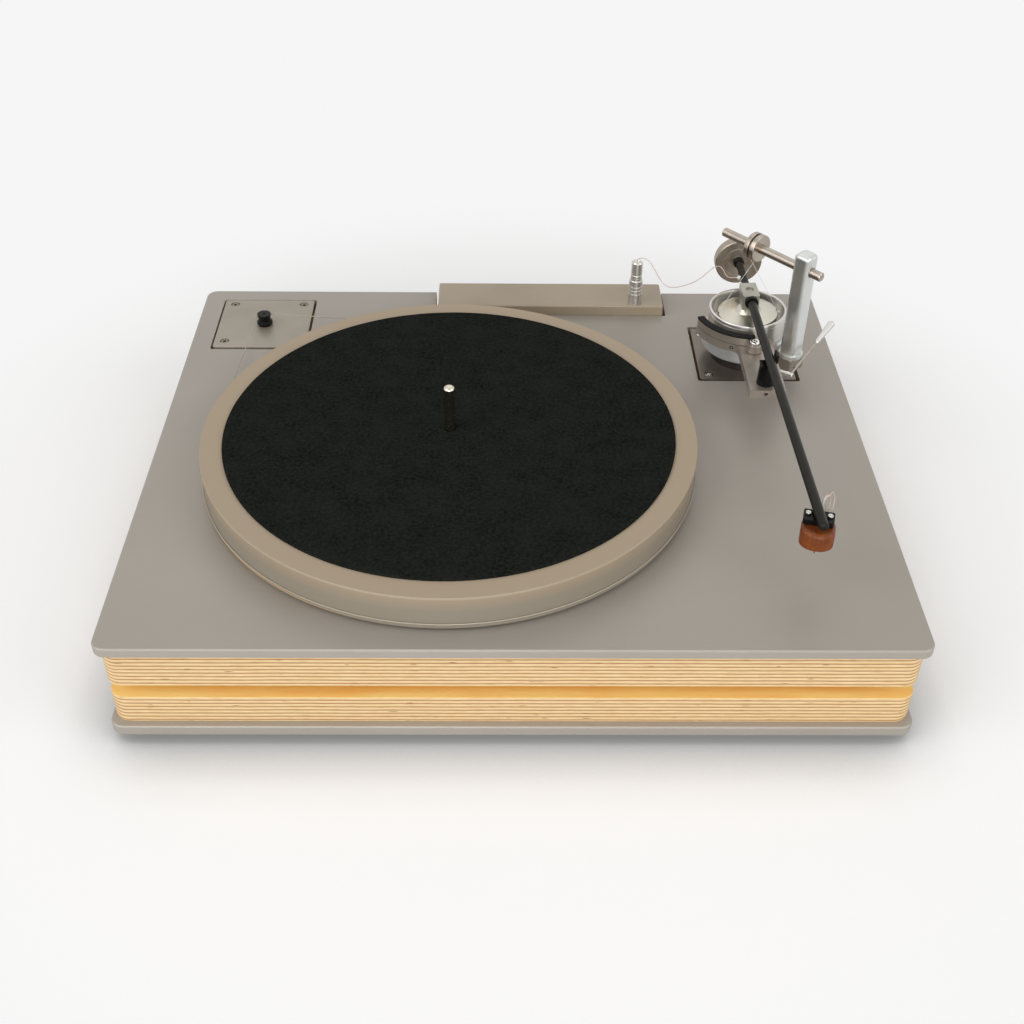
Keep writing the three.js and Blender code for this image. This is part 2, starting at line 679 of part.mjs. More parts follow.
// Platter, mat, spindle and the bearing housing that the spindle turns in
function addPlatter(deck) {
  const bearing = addGroup(deck, PLATTER_X, platterY, 0);
  const platterTop = PLATTER_LIFT + PLATTER_THICKNESS;
  const hubTop = PLATTER_LIFT + HUB_THICKNESS;
  const matTop = platterTop + MAT_THICKNESS;
  const boreRadius = SPINDLE_RADIUS + SEAT_GAP;
  const platter = turnedRing([
    [HUB_RADIUS + SEAT_GAP, PLATTER_LIFT],
    [PLATTER_RADIUS - PLATTER_CHAMFER, PLATTER_LIFT],
    [PLATTER_RADIUS, PLATTER_LIFT + PLATTER_CHAMFER],
    [PLATTER_RADIUS, platterTop - PLATTER_CHAMFER],
    [PLATTER_RADIUS - PLATTER_CHAMFER, platterTop],
    [boreRadius, platterTop],
    [boreRadius, hubTop],
    [HUB_RADIUS + SEAT_GAP, hubTop],
  ], HUGE_SEGMENTS);
  addPiece(bearing, "platter", platter, "acrylic");

  const mat = turnedRing([
    [boreRadius, platterTop],
    [MAT_RADIUS, platterTop],
    [MAT_RADIUS, matTop],
    [boreRadius, matTop],
  ], HUGE_SEGMENTS);
  addPiece(bearing, "platter_mat", mat, "suede");

  const spindleTop = matTop + SPINDLE_RISE;
  const journalBottom = PLATTER_LIFT - JOURNAL_LENGTH;
  const spindle = turned([
    [0, journalBottom],
    [JOURNAL_RADIUS - JOURNAL_CHAMFER, journalBottom],
    [JOURNAL_RADIUS, journalBottom + JOURNAL_CHAMFER],
    [JOURNAL_RADIUS, PLATTER_LIFT],
    [HUB_RADIUS, PLATTER_LIFT],
    [HUB_RADIUS, hubTop],
    [SPINDLE_RADIUS, hubTop],
    [SPINDLE_RADIUS, spindleTop - SPINDLE_DOME],
    ...domeProfile(SPINDLE_RADIUS, spindleTop - SPINDLE_DOME, SPINDLE_DOME),
  ], MEDIUM_SEGMENTS);
  addPiece(bearing, "spindle", spindle, "steel");

  const flangeTop = HOUSING_FLANGE_THICKNESS - TOP_PLATE_THICKNESS;
  const journalBore = holeRadius(JOURNAL_RADIUS, RUNNING_CLEARANCE, MEDIUM_SEGMENTS);
  const boreFloor = journalBottom - SEAT_GAP;
  const housing = turned([
    [0, boreFloor - HOUSING_FLOOR],
    [HOUSING_RADIUS, boreFloor - HOUSING_FLOOR],
    [HOUSING_RADIUS, -TOP_PLATE_THICKNESS],
    [HOUSING_FLANGE_RADIUS, -TOP_PLATE_THICKNESS],
    [HOUSING_FLANGE_RADIUS, flangeTop],
    [journalBore, flangeTop],
    [journalBore, boreFloor],
    [0, boreFloor],
  ], MEDIUM_SEGMENTS);
  addPiece(bearing, "bearing_housing", housing, "brass");
}

// The rounded end of a shaft, as the profile points above its cylinder
function domeProfile(radius, bottom, height) {
  const shares = [1 / 4, 1 / 2, 3 / 4];
  const shoulder = shares.map((share) => {
    const angle = share * Math.PI / 2;
    return [radius * Math.cos(angle), bottom + height * Math.sin(angle)];
  });
  return [...shoulder, [0, bottom + height]];
}

function addMotor(deck) {
  const motor = addGroup(deck, motorX, motorY, 0);
  const shaftHole = cylinder(
    MOTOR_BOSS_RADIUS + SEAT_GAP, insetPlateBottom - CUT_OVERRUN, CUT_OVERRUN, SMALL_SEGMENTS);
  const plate = cut(
    prism(
      roundedRectangle(MOTOR_PLATE_SIZE, MOTOR_PLATE_SIZE, MOTOR_PLATE_CORNER_RADIUS),
      insetPlateBottom, insetPlateTop).translate(MOTOR_PLATE_X, MOTOR_PLATE_Y, 0),
    shaftHole,
    ...screwHoles(0, 0, motorCorners),
  );
  addPiece(motor, "motor_plate", plate, "insetPlate");
  addScrews(motor, "motor_screw", 0, 0, motorCorners);

  const bossTop = insetPlateTop;
  const shaftBore = holeRadius(SHAFT_RADIUS, RUNNING_CLEARANCE, SMALL_SEGMENTS);
  const shaftBottom = PULLEY_BOTTOM - SHAFT_DEPTH;
  const motorBottom = insetPlateBottom - MOTOR_HEIGHT;
  const body = turned([
    [0, motorBottom],
    [MOTOR_RADIUS - MOTOR_CHAMFER, motorBottom],
    [MOTOR_RADIUS, motorBottom + MOTOR_CHAMFER],
    [MOTOR_RADIUS, insetPlateBottom],
    [MOTOR_BOSS_RADIUS, insetPlateBottom],
    [MOTOR_BOSS_RADIUS, bossTop],
    [shaftBore, bossTop],
    [shaftBore, shaftBottom - SEAT_GAP],
    [0, shaftBottom - SEAT_GAP],
  ], MEDIUM_SEGMENTS);
  addPiece(motor, "motor_body", body, "darkSteel");
  addPiece(motor, "motor_pulley", pulleyGeometry(shaftBottom), "blackPlastic");
}

function pulleyGeometry(shaftBottom) {
  const flangeTop = PULLEY_BOTTOM + PULLEY_FLANGE_THICKNESS;
  const pulleyTop = PULLEY_BOTTOM + PULLEY_HEIGHT;
  const discBottom = pulleyTop - PULLEY_TOP_THICKNESS;
  return turned([
    [0, shaftBottom],
    [SHAFT_RADIUS, shaftBottom],
    [SHAFT_RADIUS, PULLEY_BOTTOM],
    [PULLEY_FLANGE_RADIUS, PULLEY_BOTTOM],
    [PULLEY_FLANGE_RADIUS, flangeTop],
    [PULLEY_WAIST_RADIUS, flangeTop + PULLEY_SLOPE],
    [PULLEY_WAIST_RADIUS, discBottom - PULLEY_SLOPE],
    [PULLEY_TOP_RADIUS, discBottom],
    [PULLEY_TOP_RADIUS, pulleyTop],
    [PULLEY_CENTRE_HOLE_RADIUS, pulleyTop],
    [PULLEY_CENTRE_HOLE_RADIUS, pulleyTop - PULLEY_CENTRE_HOLE_DEPTH],
    [0, pulleyTop - PULLEY_CENTRE_HOLE_DEPTH],
  ], SMALL_SEGMENTS);
}

// The belt's centre line: a wide arc round the platter, a small one round the pulley, and the
// two straight runs between them. Each point comes with its outward direction.
function beltLine() {
  const spanX = motorX - PLATTER_X;
  const spanY = motorY - platterY;
  const span = Math.hypot(spanX, spanY);
  const towardsMotor = Math.atan2(spanY, spanX);
  const bigRadius = PLATTER_RADIUS + SEAT_GAP + BELT_RADIUS;
  const smallRadius = PULLEY_WAIST_RADIUS + SEAT_GAP + BELT_RADIUS;
  const halfWrap = Math.acos((bigRadius - smallRadius) / span);
  const line = [];
  const bigSteps = HUGE_SEGMENTS * 3 / 4;
  for (let i = 0; i <= bigSteps; i++) {
    const share = i / bigSteps;
    const angle = towardsMotor + halfWrap + share * 2 * (Math.PI - halfWrap);
    line.push({ x: PLATTER_X, y: platterY, radius: bigRadius, angle });
  }
  for (let i = 0; i <= BELT_PULLEY_STEPS; i++) {
    const share = i / BELT_PULLEY_STEPS;
    const angle = towardsMotor - halfWrap + share * 2 * halfWrap;
    line.push({ x: motorX, y: motorY, radius: smallRadius, angle });
  }
  return line;
}

function addBelt(deck) {
  const line = beltLine();
  const positions = [];
  for (const { x, y, radius, angle } of line) {
    for (let side = 0; side < BELT_SIDES; side++) {
      const turn = (side / BELT_SIDES) * 2 * Math.PI;
      const reach = radius + BELT_RADIUS * Math.cos(turn);
      const height = BELT_HEIGHT + BELT_RADIUS * Math.sin(turn);
      positions.push(x + reach * Math.cos(angle), y + reach * Math.sin(angle), height);
    }
  }
  const faces = [];
  for (let i = 0; i < line.length; i++) {
    const here = i * BELT_SIDES;
    const next = ((i + 1) % line.length) * BELT_SIDES;
    for (let side = 0; side < BELT_SIDES; side++) {
      const up = (side + 1) % BELT_SIDES;
      faces.push(here + side, next + side, here + up);
      faces.push(next + side, next + up, here + up);
    }
  }
  const belt = new THREE.BufferGeometry();
  belt.setAttribute("position", new THREE.Float32BufferAttribute(positions, 3));
  belt.setIndex(faces);
  addPiece(deck, "drive_belt", belt, "nylon");
}

// A signal jack: a base disc on the recess's floor and a barrel that ends flush with the back
function phonoJack() {
  return turned([
    [0, 0],
    [JACK_RECESS_RADIUS - SEAT_GAP, 0],
    [JACK_RECESS_RADIUS - SEAT_GAP, JACK_BASE_THICKNESS],
    [JACK_BARREL_RADIUS, JACK_BASE_THICKNESS],
    [JACK_BARREL_RADIUS, JACK_RECESS_DEPTH],
    [JACK_BORE_RADIUS, JACK_RECESS_DEPTH],
    [JACK_BORE_RADIUS, JACK_RECESS_DEPTH - JACK_BORE_DEPTH],
    [0, JACK_RECESS_DEPTH - JACK_BORE_DEPTH],
  ], SMALL_SEGMENTS).rotateX(-Math.PI / 2);
}

// The power inlet: a round barrel with a deep bore and its centre pin
function powerJack() {
  const boreFloor = JACK_RECESS_DEPTH - POWER_BORE_DEPTH;
  return turned([
    [0, 0],
    [JACK_RECESS_RADIUS - SEAT_GAP, 0],
    [JACK_RECESS_RADIUS - SEAT_GAP, JACK_BASE_THICKNESS],
    [POWER_BARREL_RADIUS, JACK_BASE_THICKNESS],
    [POWER_BARREL_RADIUS, JACK_RECESS_DEPTH],
    [POWER_BORE_RADIUS, JACK_RECESS_DEPTH],
    [POWER_BORE_RADIUS, boreFloor],
    [POWER_PIN_RADIUS, boreFloor],
    [POWER_PIN_RADIUS, JACK_RECESS_DEPTH - POWER_PIN_RADIUS],
    [0, JACK_RECESS_DEPTH - POWER_PIN_RADIUS],
  ], SMALL_SEGMENTS).rotateX(-Math.PI / 2);
}

function addTerminals(deck) {
  const back = PLATE_DEPTH / 2;
  const recessFloor = back - JACK_RECESS_DEPTH;
  const leftPhono = TERMINAL_X + PHONO_X;
  const rightPhono = leftPhono - PHONO_SPACING;
  const ground = rightPhono - PHONO_SPACING;
  const power = TERMINAL_X + POWER_X;
  const recess = (x) => cylinder(
    JACK_RECESS_RADIUS, 0, JACK_RECESS_DEPTH + CUT_OVERRUN, SMALL_SEGMENTS,
  ).rotateX(-Math.PI / 2).translate(x, recessFloor, -JACK_DROP);
  const stud = turned([
    [0, -CUT_OVERRUN],
    [GROUND_STUD_RADIUS, -CUT_OVERRUN],
    [GROUND_STUD_RADIUS, JACK_BASE_THICKNESS],
    [GROUND_NUT_RADIUS, JACK_BASE_THICKNESS],
    [GROUND_NUT_RADIUS, JACK_BASE_THICKNESS + GROUND_NUT_THICKNESS],
    [GROUND_STUD_RADIUS, JACK_BASE_THICKNESS + GROUND_NUT_THICKNESS],
    [GROUND_STUD_RADIUS, JACK_RECESS_DEPTH],
    [0, JACK_RECESS_DEPTH],
  ], TINY_SEGMENTS).rotateX(-Math.PI / 2).translate(ground, recessFloor, -JACK_DROP);
  const outline = roundedRectangle(TERMINAL_WIDTH, TERMINAL_DEPTH, TERMINAL_CORNER_RADIUS);
  const block = cut(
    bevelledPrism(outline, -TERMINAL_DROP, TERMINAL_RISE, TERMINAL_CHAMFER, 1)
      .translate(TERMINAL_X, back - TERMINAL_DEPTH / 2, 0),
    ...[leftPhono, rightPhono, ground, power].map(recess),
  );
  addPiece(deck, "terminal_block", join(block, stud), "terminal");

  const place = [0, recessFloor, -JACK_DROP];
  addPiece(deck, "phono_socket_left", phonoJack().translate(leftPhono, 0, 0), "brass")
    .position.set(...place);
  addPiece(deck, "phono_socket_right", phonoJack().translate(rightPhono, 0, 0), "brass")
    .position.set(...place);
  addPiece(deck, "power_inlet", powerJack().translate(power, 0, 0), "blackPlastic")
    .position.set(...place);
}

// The arm wire's connector: a ribbed socket body on the block and the plug's sleeve above it
function addConnector(deck) {
  const connector = addGroup(
    deck, TERMINAL_X + CONNECTOR_SHIFT, terminalFront + CONNECTOR_FRONT_INSET, TERMINAL_RISE);
  const grooves = [];
  for (let i = 0; i < CONNECTOR_GROOVES; i++) {
    const bottom = CONNECTOR_GROOVE_START + i * CONNECTOR_GROOVE_PITCH;
    const floor = CONNECTOR_BODY_RADIUS - CONNECTOR_GROOVE_DEPTH;
    grooves.push(
      [CONNECTOR_BODY_RADIUS, bottom],
      [floor, bottom],
      [floor, bottom + CONNECTOR_GROOVE_WIDTH],
      [CONNECTOR_BODY_RADIUS, bottom + CONNECTOR_GROOVE_WIDTH],
    );
  }
  const neckTop = CONNECTOR_BODY_HEIGHT + CONNECTOR_NECK_HEIGHT;
  const socket = turned([
    [0, 0],
    [CONNECTOR_BODY_RADIUS, 0],
    ...grooves,
    [CONNECTOR_BODY_RADIUS, CONNECTOR_BODY_HEIGHT],
    [CONNECTOR_NECK_RADIUS, CONNECTOR_BODY_HEIGHT],
    [CONNECTOR_NECK_RADIUS, neckTop],
    [0, neckTop],
  ], SMALL_SEGMENTS);
  addPiece(connector, "wire_socket", socket, "steel");

  const plugTop = neckTop + CONNECTOR_PLUG_HEIGHT;
  const plug = turned([
    [0, neckTop],
    [CONNECTOR_PLUG_RADIUS, neckTop],
    [CONNECTOR_PLUG_RADIUS, plugTop - CONNECTOR_PLUG_CHAMFER],
    [CONNECTOR_PLUG_RADIUS - CONNECTOR_PLUG_CHAMFER, plugTop],
    [CONNECTOR_OUTLET_RADIUS, plugTop],
    [CONNECTOR_OUTLET_RADIUS, plugTop - CONNECTOR_OUTLET_DEPTH],
    [0, plugTop - CONNECTOR_OUTLET_DEPTH],
  ], SMALL_SEGMENTS);
  addPiece(connector, "wire_plug", plug, "steel");
}

function polygonShape(radius, sides) {
  const points = [];
  for (let i = 0; i < sides; i++) {
    const angle = (i / sides) * 2 * Math.PI;
    points.push(new THREE.Vector2(radius * Math.cos(angle), radius * Math.sin(angle)));
  }
  return new THREE.Shape(points);
}

function addArmWire(deck) {
  const curve = new THREE.CatmullRomCurve3(ARM_WIRE_ROUTE.map((point) => new THREE.Vector3(...point)));
  const settings = { steps: WIRE_STEPS, extrudePath: curve, bevelEnabled: false };
  const wire = new THREE.ExtrudeGeometry(polygonShape(ARM_WIRE_RADIUS, WIRE_SIDES), settings);
  addPiece(deck, "arm_wire", wire, "wire");
}

// Base plate, pedestal, collar with the gantry's lug, and the fluid cup
function addArmMount(deck) {
  const mount = addGroup(deck, pivotX, pivotY, 0);
  const plate = cut(
    prism(
      roundedRectangle(ARM_PLATE_SIZE, ARM_PLATE_SIZE, MOTOR_CUT_CORNER_RADIUS),
      insetPlateBottom, insetPlateTop),
    ...screwHoles(0, 0, armCorners),
  );
  addPiece(mount, "arm_base_plate", plate, "darkSteel");
  addScrews(mount, "arm_base_screw", 0, 0, armCorners);
  const pedestal = cylinder(PEDESTAL_RADIUS, insetPlateTop, PEDESTAL_TOP, MEDIUM_SEGMENTS);
  addPiece(mount, "arm_pedestal", pedestal, "darkSteel");

  const collarDisc = turned([
    [0, PEDESTAL_TOP],
    [COLLAR_RADIUS - COLLAR_CHAMFER, PEDESTAL_TOP],
    [COLLAR_RADIUS, PEDESTAL_TOP + COLLAR_CHAMFER],
    [COLLAR_RADIUS, COLLAR_TOP - COLLAR_CHAMFER],
    [COLLAR_RADIUS - COLLAR_CHAMFER, COLLAR_TOP],
    [0, COLLAR_TOP],
  ], LARGE_SEGMENTS);
  const lugEnd = GANTRY_POST_OFFSET + LUG_WIDTH / 2;
  const lugTop = PEDESTAL_TOP + LUG_HEIGHT;
  const lug = prism(
    roundedRectangle(LUG_LENGTH, LUG_WIDTH, LUG_CORNER_RADIUS),
    PEDESTAL_TOP + COLLAR_CHAMFER, lugTop,
  ).translate(lugEnd - LUG_LENGTH / 2, 0, 0).rotateZ(radians(GANTRY_TURN_DEG));
  addPiece(mount, "arm_collar", join(collarDisc, lug), "aluminium");

  const bore = CUP_RADIUS - CUP_WALL;
  const cup = turned([
    [0, COLLAR_TOP],
    [CUP_RADIUS, COLLAR_TOP],
    [CUP_RADIUS, CUP_TOP - CUP_RIM_CHAMFER],
    [CUP_RADIUS - CUP_RIM_CHAMFER, CUP_TOP],
    [bore + CUP_RIM_CHAMFER, CUP_TOP],
    [bore, CUP_TOP - CUP_RIM_CHAMFER],
    [bore, COLLAR_TOP + CUP_FLOOR],
    [0, COLLAR_TOP + CUP_FLOOR],
  ], LARGE_SEGMENTS);
  addPiece(mount, "fluid_cup", cup, "steel");
  addGantry(mount, lugTop);
}

// Square post, the rod through it, and the grooved knob that carries the threads
function addGantry(mount, lugTop) {
  const gantry = addGroup(mount, 0, 0, 0);
  gantry.rotation.z = radians(GANTRY_TURN_DEG);
  const shaft = bevelledPrism(
    roundedRectangle(GANTRY_POST_SIZE, GANTRY_POST_SIZE, GANTRY_POST_EDGE_RADIUS),
    lugTop, ROD_HEIGHT + GANTRY_POST_RISE, GANTRY_POST_CROWN, 3);
  const footRing = cylinder(GANTRY_FOOT_RADIUS, lugTop, lugTop + GANTRY_FOOT_HEIGHT, SMALL_SEGMENTS);
  const rodHole = cylinder(
    ROD_RADIUS + SEAT_GAP, -GANTRY_POST_SIZE, GANTRY_POST_SIZE, SMALL_SEGMENTS,
  ).rotateY(Math.PI / 2).translate(0, 0, ROD_HEIGHT);
  const post = addPiece(gantry, "gantry_post", cut(join(shaft, footRing), rodHole), "aluminium");
  post.position.x = GANTRY_POST_OFFSET;

  const rodEnd = GANTRY_POST_OFFSET + ROD_TAIL_LENGTH;
  const rod = turned([
    [0, -ROD_FREE_LENGTH],
    [ROD_RADIUS - ROD_CHAMFER, -ROD_FREE_LENGTH],
    [ROD_RADIUS, ROD_CHAMFER - ROD_FREE_LENGTH],
    [ROD_RADIUS, rodEnd - ROD_CHAMFER],
    [ROD_RADIUS - ROD_CHAMFER, rodEnd],
    [0, rodEnd],
  ], SMALL_SEGMENTS).rotateY(Math.PI / 2);
  addPiece(gantry, "gantry_rod", rod, "bronzeSteel").position.z = ROD_HEIGHT;

  const half = KNOB_GROOVE_WIDTH / 2;
  const end = half + KNOB_FLANGE_THICKNESS;
  const bore = holeRadius(ROD_RADIUS, RUNNING_CLEARANCE, MEDIUM_SEGMENTS);
  const knob = turnedRing([
    [bore, -end],
    [KNOB_RADIUS - KNOB_CHAMFER, -end],
    [KNOB_RADIUS, KNOB_CHAMFER - end],
    [KNOB_RADIUS, -half],
    [KNOB_GROOVE_RADIUS, -half],
    [KNOB_GROOVE_RADIUS, half],
    [KNOB_RADIUS, half],
    [KNOB_RADIUS, end - KNOB_CHAMFER],
    [KNOB_RADIUS - KNOB_CHAMFER, end],
    [bore, end],
  ], MEDIUM_SEGMENTS).rotateY(Math.PI / 2);
  addPiece(gantry, "bias_knob", knob, "bronzeSteel").position.z = ROD_HEIGHT;
}

// A thread between two points, pulled straight
function threadGeometry(from, to) {
  const curve = new THREE.LineCurve3(from, to);
  const settings = { steps: 1, extrudePath: curve, bevelEnabled: false };
  return new THREE.ExtrudeGeometry(polygonShape(FILAMENT_RADIUS, HEX_SIDES), settings);
}

// How the parked arm hangs: turned a little about the upright and leaning a little sideways
const armPose = new THREE.Euler(0, radians(ARM_ROLL_DEG), radians(ARM_YAW_DEG), "ZYX");

// The two threads cross between the beads and the knob's groove
function addFilaments(deck) {
  const threads = addGroup(deck, pivotX, pivotY, 0);
  const turn = radians(GANTRY_TURN_DEG);
  for (const [name, side] of [["filament_right", 1], ["filament_left", -1]]) {
    const bead = new THREE.Vector3(side * BEAD_OFFSET, 0, 0).applyEuler(armPose);
    bead.z += TILT_AXIS_HEIGHT;
    const top = new THREE.Vector3(
      side * FILAMENT_SPREAD * Math.sin(turn),
      -side * FILAMENT_SPREAD * Math.cos(turn),
      ROD_HEIGHT - FILAMENT_TOP_DROP,
    );
    const along = top.clone().sub(bead).normalize();
    const start = bead.clone().addScaledVector(along, BEAD_RADIUS + SEAT_GAP);
    addPiece(threads, name, threadGeometry(start, top), "nylon");
  }
}

// The hanging arm as it rests when parked
function addArm(deck) {
  const arm = addGroup(deck, pivotX, pivotY, TILT_AXIS_HEIGHT);
  arm.rotation.copy(armPose);
  const bead = new THREE.SphereGeometry(BEAD_RADIUS, HEX_SIDES * 2, HEX_SIDES);
  addPiece(arm, "bead_left", bead.clone(), "nylon").position.x = -BEAD_OFFSET;
  addPiece(arm, "bead_right", bead.clone(), "nylon").position.x = BEAD_OFFSET;
  addFloat(arm);
  addTube(arm);
  addWeight(arm);
  addHeadshell(arm);
}

function addFloat(arm) {
  const notch = cylinder(
    BEAD_RADIUS + 2 * SEAT_GAP, FLOAT_BOTTOM - CUT_OVERRUN, FLOAT_NECK_TOP, TINY_SEGMENTS);
  const disc = cut(
    turned([
      [0, FLOAT_BOTTOM],
      [FLOAT_RADIUS, FLOAT_BOTTOM],
      [FLOAT_RADIUS, FLOAT_EDGE_TOP],
      [FLOAT_NECK_BASE_RADIUS, FLOAT_NECK_BASE],
      [FLOAT_NECK_TOP_RADIUS, FLOAT_NECK_TOP],
      [0, FLOAT_NECK_TOP],
    ], LARGE_SEGMENTS),
    notch.clone().translate(-BEAD_OFFSET, 0, 0),
    notch.clone().translate(BEAD_OFFSET, 0, 0),
  );
  addPiece(arm, "float_disc", disc, "aluminium");

  const blockBottom = FLOAT_NECK_TOP + SEAT_GAP;
  const blockTop = blockBottom + BLOCK_HEIGHT;
  const tubeBore = cylinder(TUBE_RADIUS + SEAT_GAP, -BLOCK_LENGTH, BLOCK_LENGTH, SMALL_SEGMENTS)
    .rotateX(Math.PI / 2).translate(0, 0, TUBE_HEIGHT);
  const topHole = cylinder(
    BLOCK_HOLE_RADIUS, blockTop - BLOCK_HOLE_DEPTH, blockTop + CUT_OVERRUN, SMALL_SEGMENTS);
  const bush = cylinder(BUSH_RADIUS, 0, BLOCK_LENGTH / 2 + BUSH_LENGTH, SMALL_SEGMENTS)
    .rotateX(Math.PI / 2).translate(0, 0, TUBE_HEIGHT);
  const outline = roundedRectangle(BLOCK_WIDTH, BLOCK_LENGTH, BLOCK_CORNER_RADIUS);
  const block = cut(
    join(bevelledPrism(outline, blockBottom, blockTop, BLOCK_CHAMFER, 1), bush),
    tubeBore,
    topHole,
  );
  addPiece(arm, "pivot_block", block, "aluminium");
}

// The front tube and the thinner stub behind it, as one turned piece
function addTube(arm) {
  const blockFace = BLOCK_LENGTH / 2;
  const tube = turned([
    [0, -STUB_LENGTH],
    [STUB_RADIUS - STUB_CHAMFER, -STUB_LENGTH],
    [STUB_RADIUS, STUB_CHAMFER - STUB_LENGTH],
    [STUB_RADIUS, -blockFace],
    [TUBE_RADIUS, -blockFace],
    [TUBE_RADIUS, TUBE_REACH - TUBE_CAP_LENGTH],
    ...domeProfile(TUBE_RADIUS, TUBE_REACH - TUBE_CAP_LENGTH, TUBE_CAP_LENGTH),
  ], SMALL_SEGMENTS).rotateX(Math.PI / 2);
  addPiece(arm, "arm_tube", tube, "carbon").position.z = TUBE_HEIGHT;
}

function addWeight(arm) {
  const bore = holeRadius(STUB_RADIUS, RUNNING_CLEARANCE, SMALL_SEGMENTS);
  const weight = turnedRing([
    [WEIGHT_HUB_RADIUS, WEIGHT_DISH_DEPTH],
    [WEIGHT_DISH_RADIUS, 0],
    [WEIGHT_RADIUS - WEIGHT_CHAMFER, 0],
    [WEIGHT_RADIUS, WEIGHT_CHAMFER],
    [WEIGHT_RADIUS, WEIGHT_THICKNESS - WEIGHT_CHAMFER],
    [WEIGHT_RADIUS - WEIGHT_CHAMFER, WEIGHT_THICKNESS],
    [bore, WEIGHT_THICKNESS],
    [bore, WEIGHT_DISH_DEPTH],
  ], SMALL_SEGMENTS * 2).rotateX(-Math.PI / 2);
  addPiece(arm, "counterweight", weight, "chrome").position.set(0, WEIGHT_OFFSET, TUBE_HEIGHT);

  const collarBack = WEIGHT_DISH_DEPTH - SEAT_GAP;
  const collarFront = collarBack - WEIGHT_COLLAR_LENGTH;
  const collar = turnedRing([
    [bore, collarFront],
    [WEIGHT_COLLAR_RADIUS - WEIGHT_COLLAR_CHAMFER, collarFront],
    [WEIGHT_COLLAR_RADIUS, collarFront + WEIGHT_COLLAR_CHAMFER],
    [WEIGHT_COLLAR_RADIUS, collarBack],
    [bore, collarBack],
  ], SMALL_SEGMENTS).rotateX(-Math.PI / 2);
  addPiece(arm, "weight_collar", collar, "blackPlastic").position.set(0, WEIGHT_OFFSET, TUBE_HEIGHT);
}

// The cartridge's outline from above: straight sides and a half-ellipse nose to the front
function cartridgeOutline() {
  const half = CARTRIDGE_WIDTH / 2;
  const shape = new THREE.Shape();
  shape.moveTo(half, CARTRIDGE_BACK);
  shape.lineTo(-half, CARTRIDGE_BACK);
  shape.lineTo(-half, CARTRIDGE_BACK - CARTRIDGE_SIDE);
  shape.absellipse(
    0, CARTRIDGE_BACK - CARTRIDGE_SIDE, half, CARTRIDGE_NOSE, Math.PI, 2 * Math.PI, false, 0);
  shape.closePath();
  return shape;
}

function addHeadshell(arm) {
  const head = addGroup(arm, HEADSHELL_X, -HEADSHELL_REACH, TUBE_HEIGHT);
  head.rotation.set(0, -radians(ARM_ROLL_DEG), radians(HEADSHELL_TURN_DEG));
  const top = -HEADSHELL_TOP;
  const bottom = top - HEADSHELL_THICKNESS;
  const cartridgeTop = bottom - SEAT_GAP;
  const screwX = CARTRIDGE_SCREW_SPACING / 2;
  const tubeGroove = cylinder(
    TUBE_RADIUS + SEAT_GAP, -HEADSHELL_LENGTH, HEADSHELL_LENGTH, SMALL_SEGMENTS,
  ).rotateX(Math.PI / 2).rotateZ(-radians(HEADSHELL_TURN_DEG)).translate(-HEADSHELL_X, 0, 0);
  const screwTipDepth = top - CARTRIDGE_SCREW_DEPTH;
  const clearance = (side) => cylinder(
    CARTRIDGE_SCREW_RADIUS + SEAT_GAP, screwTipDepth - SEAT_GAP, CUT_OVERRUN, TINY_SEGMENTS,
  ).translate(side * screwX, CARTRIDGE_SCREW_SHIFT, 0);
  const plate = cut(
    prism(
      roundedRectangle(HEADSHELL_WIDTH, HEADSHELL_LENGTH, HEADSHELL_CORNER_RADIUS), bottom, top),
    tubeGroove,
    clearance(-1),
    clearance(1),
  );
  addPiece(head, "headshell", plate, "blackPlastic");

  const cartridgeBottom = cartridgeTop - CARTRIDGE_HEIGHT;
  const cartridge = cut(
    bevelledPrism(cartridgeOutline(), cartridgeBottom, cartridgeTop, CARTRIDGE_CHAMFER, 2)
      .translate(CARTRIDGE_X, 0, 0),
    clearance(-1),
    clearance(1),
  );
  addPiece(head, "cartridge", cartridge, "rosewood");
  for (const [name, side] of [["headshell_screw_left", -1], ["headshell_screw_right", 1]]) {
    const screw = addPiece(head, name, cartridgeScrew(), "chrome");
    screw.position.set(side * screwX, CARTRIDGE_SCREW_SHIFT, top);
  }
  const stylus = addPiece(head, "stylus", stylusGeometry(), "blackPlastic");
  stylus.position.set(CARTRIDGE_X, -STYLUS_SHIFT, cartridgeBottom - SEAT_GAP);
}

function cartridgeScrew() {
  const headBottom = SEAT_GAP;
  const headTop = headBottom + CARTRIDGE_SCREW_HEAD_HEIGHT;
  const body = turned([
    [0, -CARTRIDGE_SCREW_DEPTH],
    [CARTRIDGE_SCREW_RADIUS, -CARTRIDGE_SCREW_DEPTH],
    [CARTRIDGE_SCREW_RADIUS, headBottom],
    [CARTRIDGE_SCREW_HEAD_RADIUS, headBottom],
    [CARTRIDGE_SCREW_HEAD_RADIUS, headTop],
    [0, headTop],
  ], TINY_SEGMENTS);
  const slot = new THREE.BoxGeometry(
    3 * CARTRIDGE_SCREW_HEAD_RADIUS, CARTRIDGE_SCREW_SLOT, 2 * CARTRIDGE_SCREW_SLOT);
  return cut(body, slot.translate(0, 0, headTop));
}

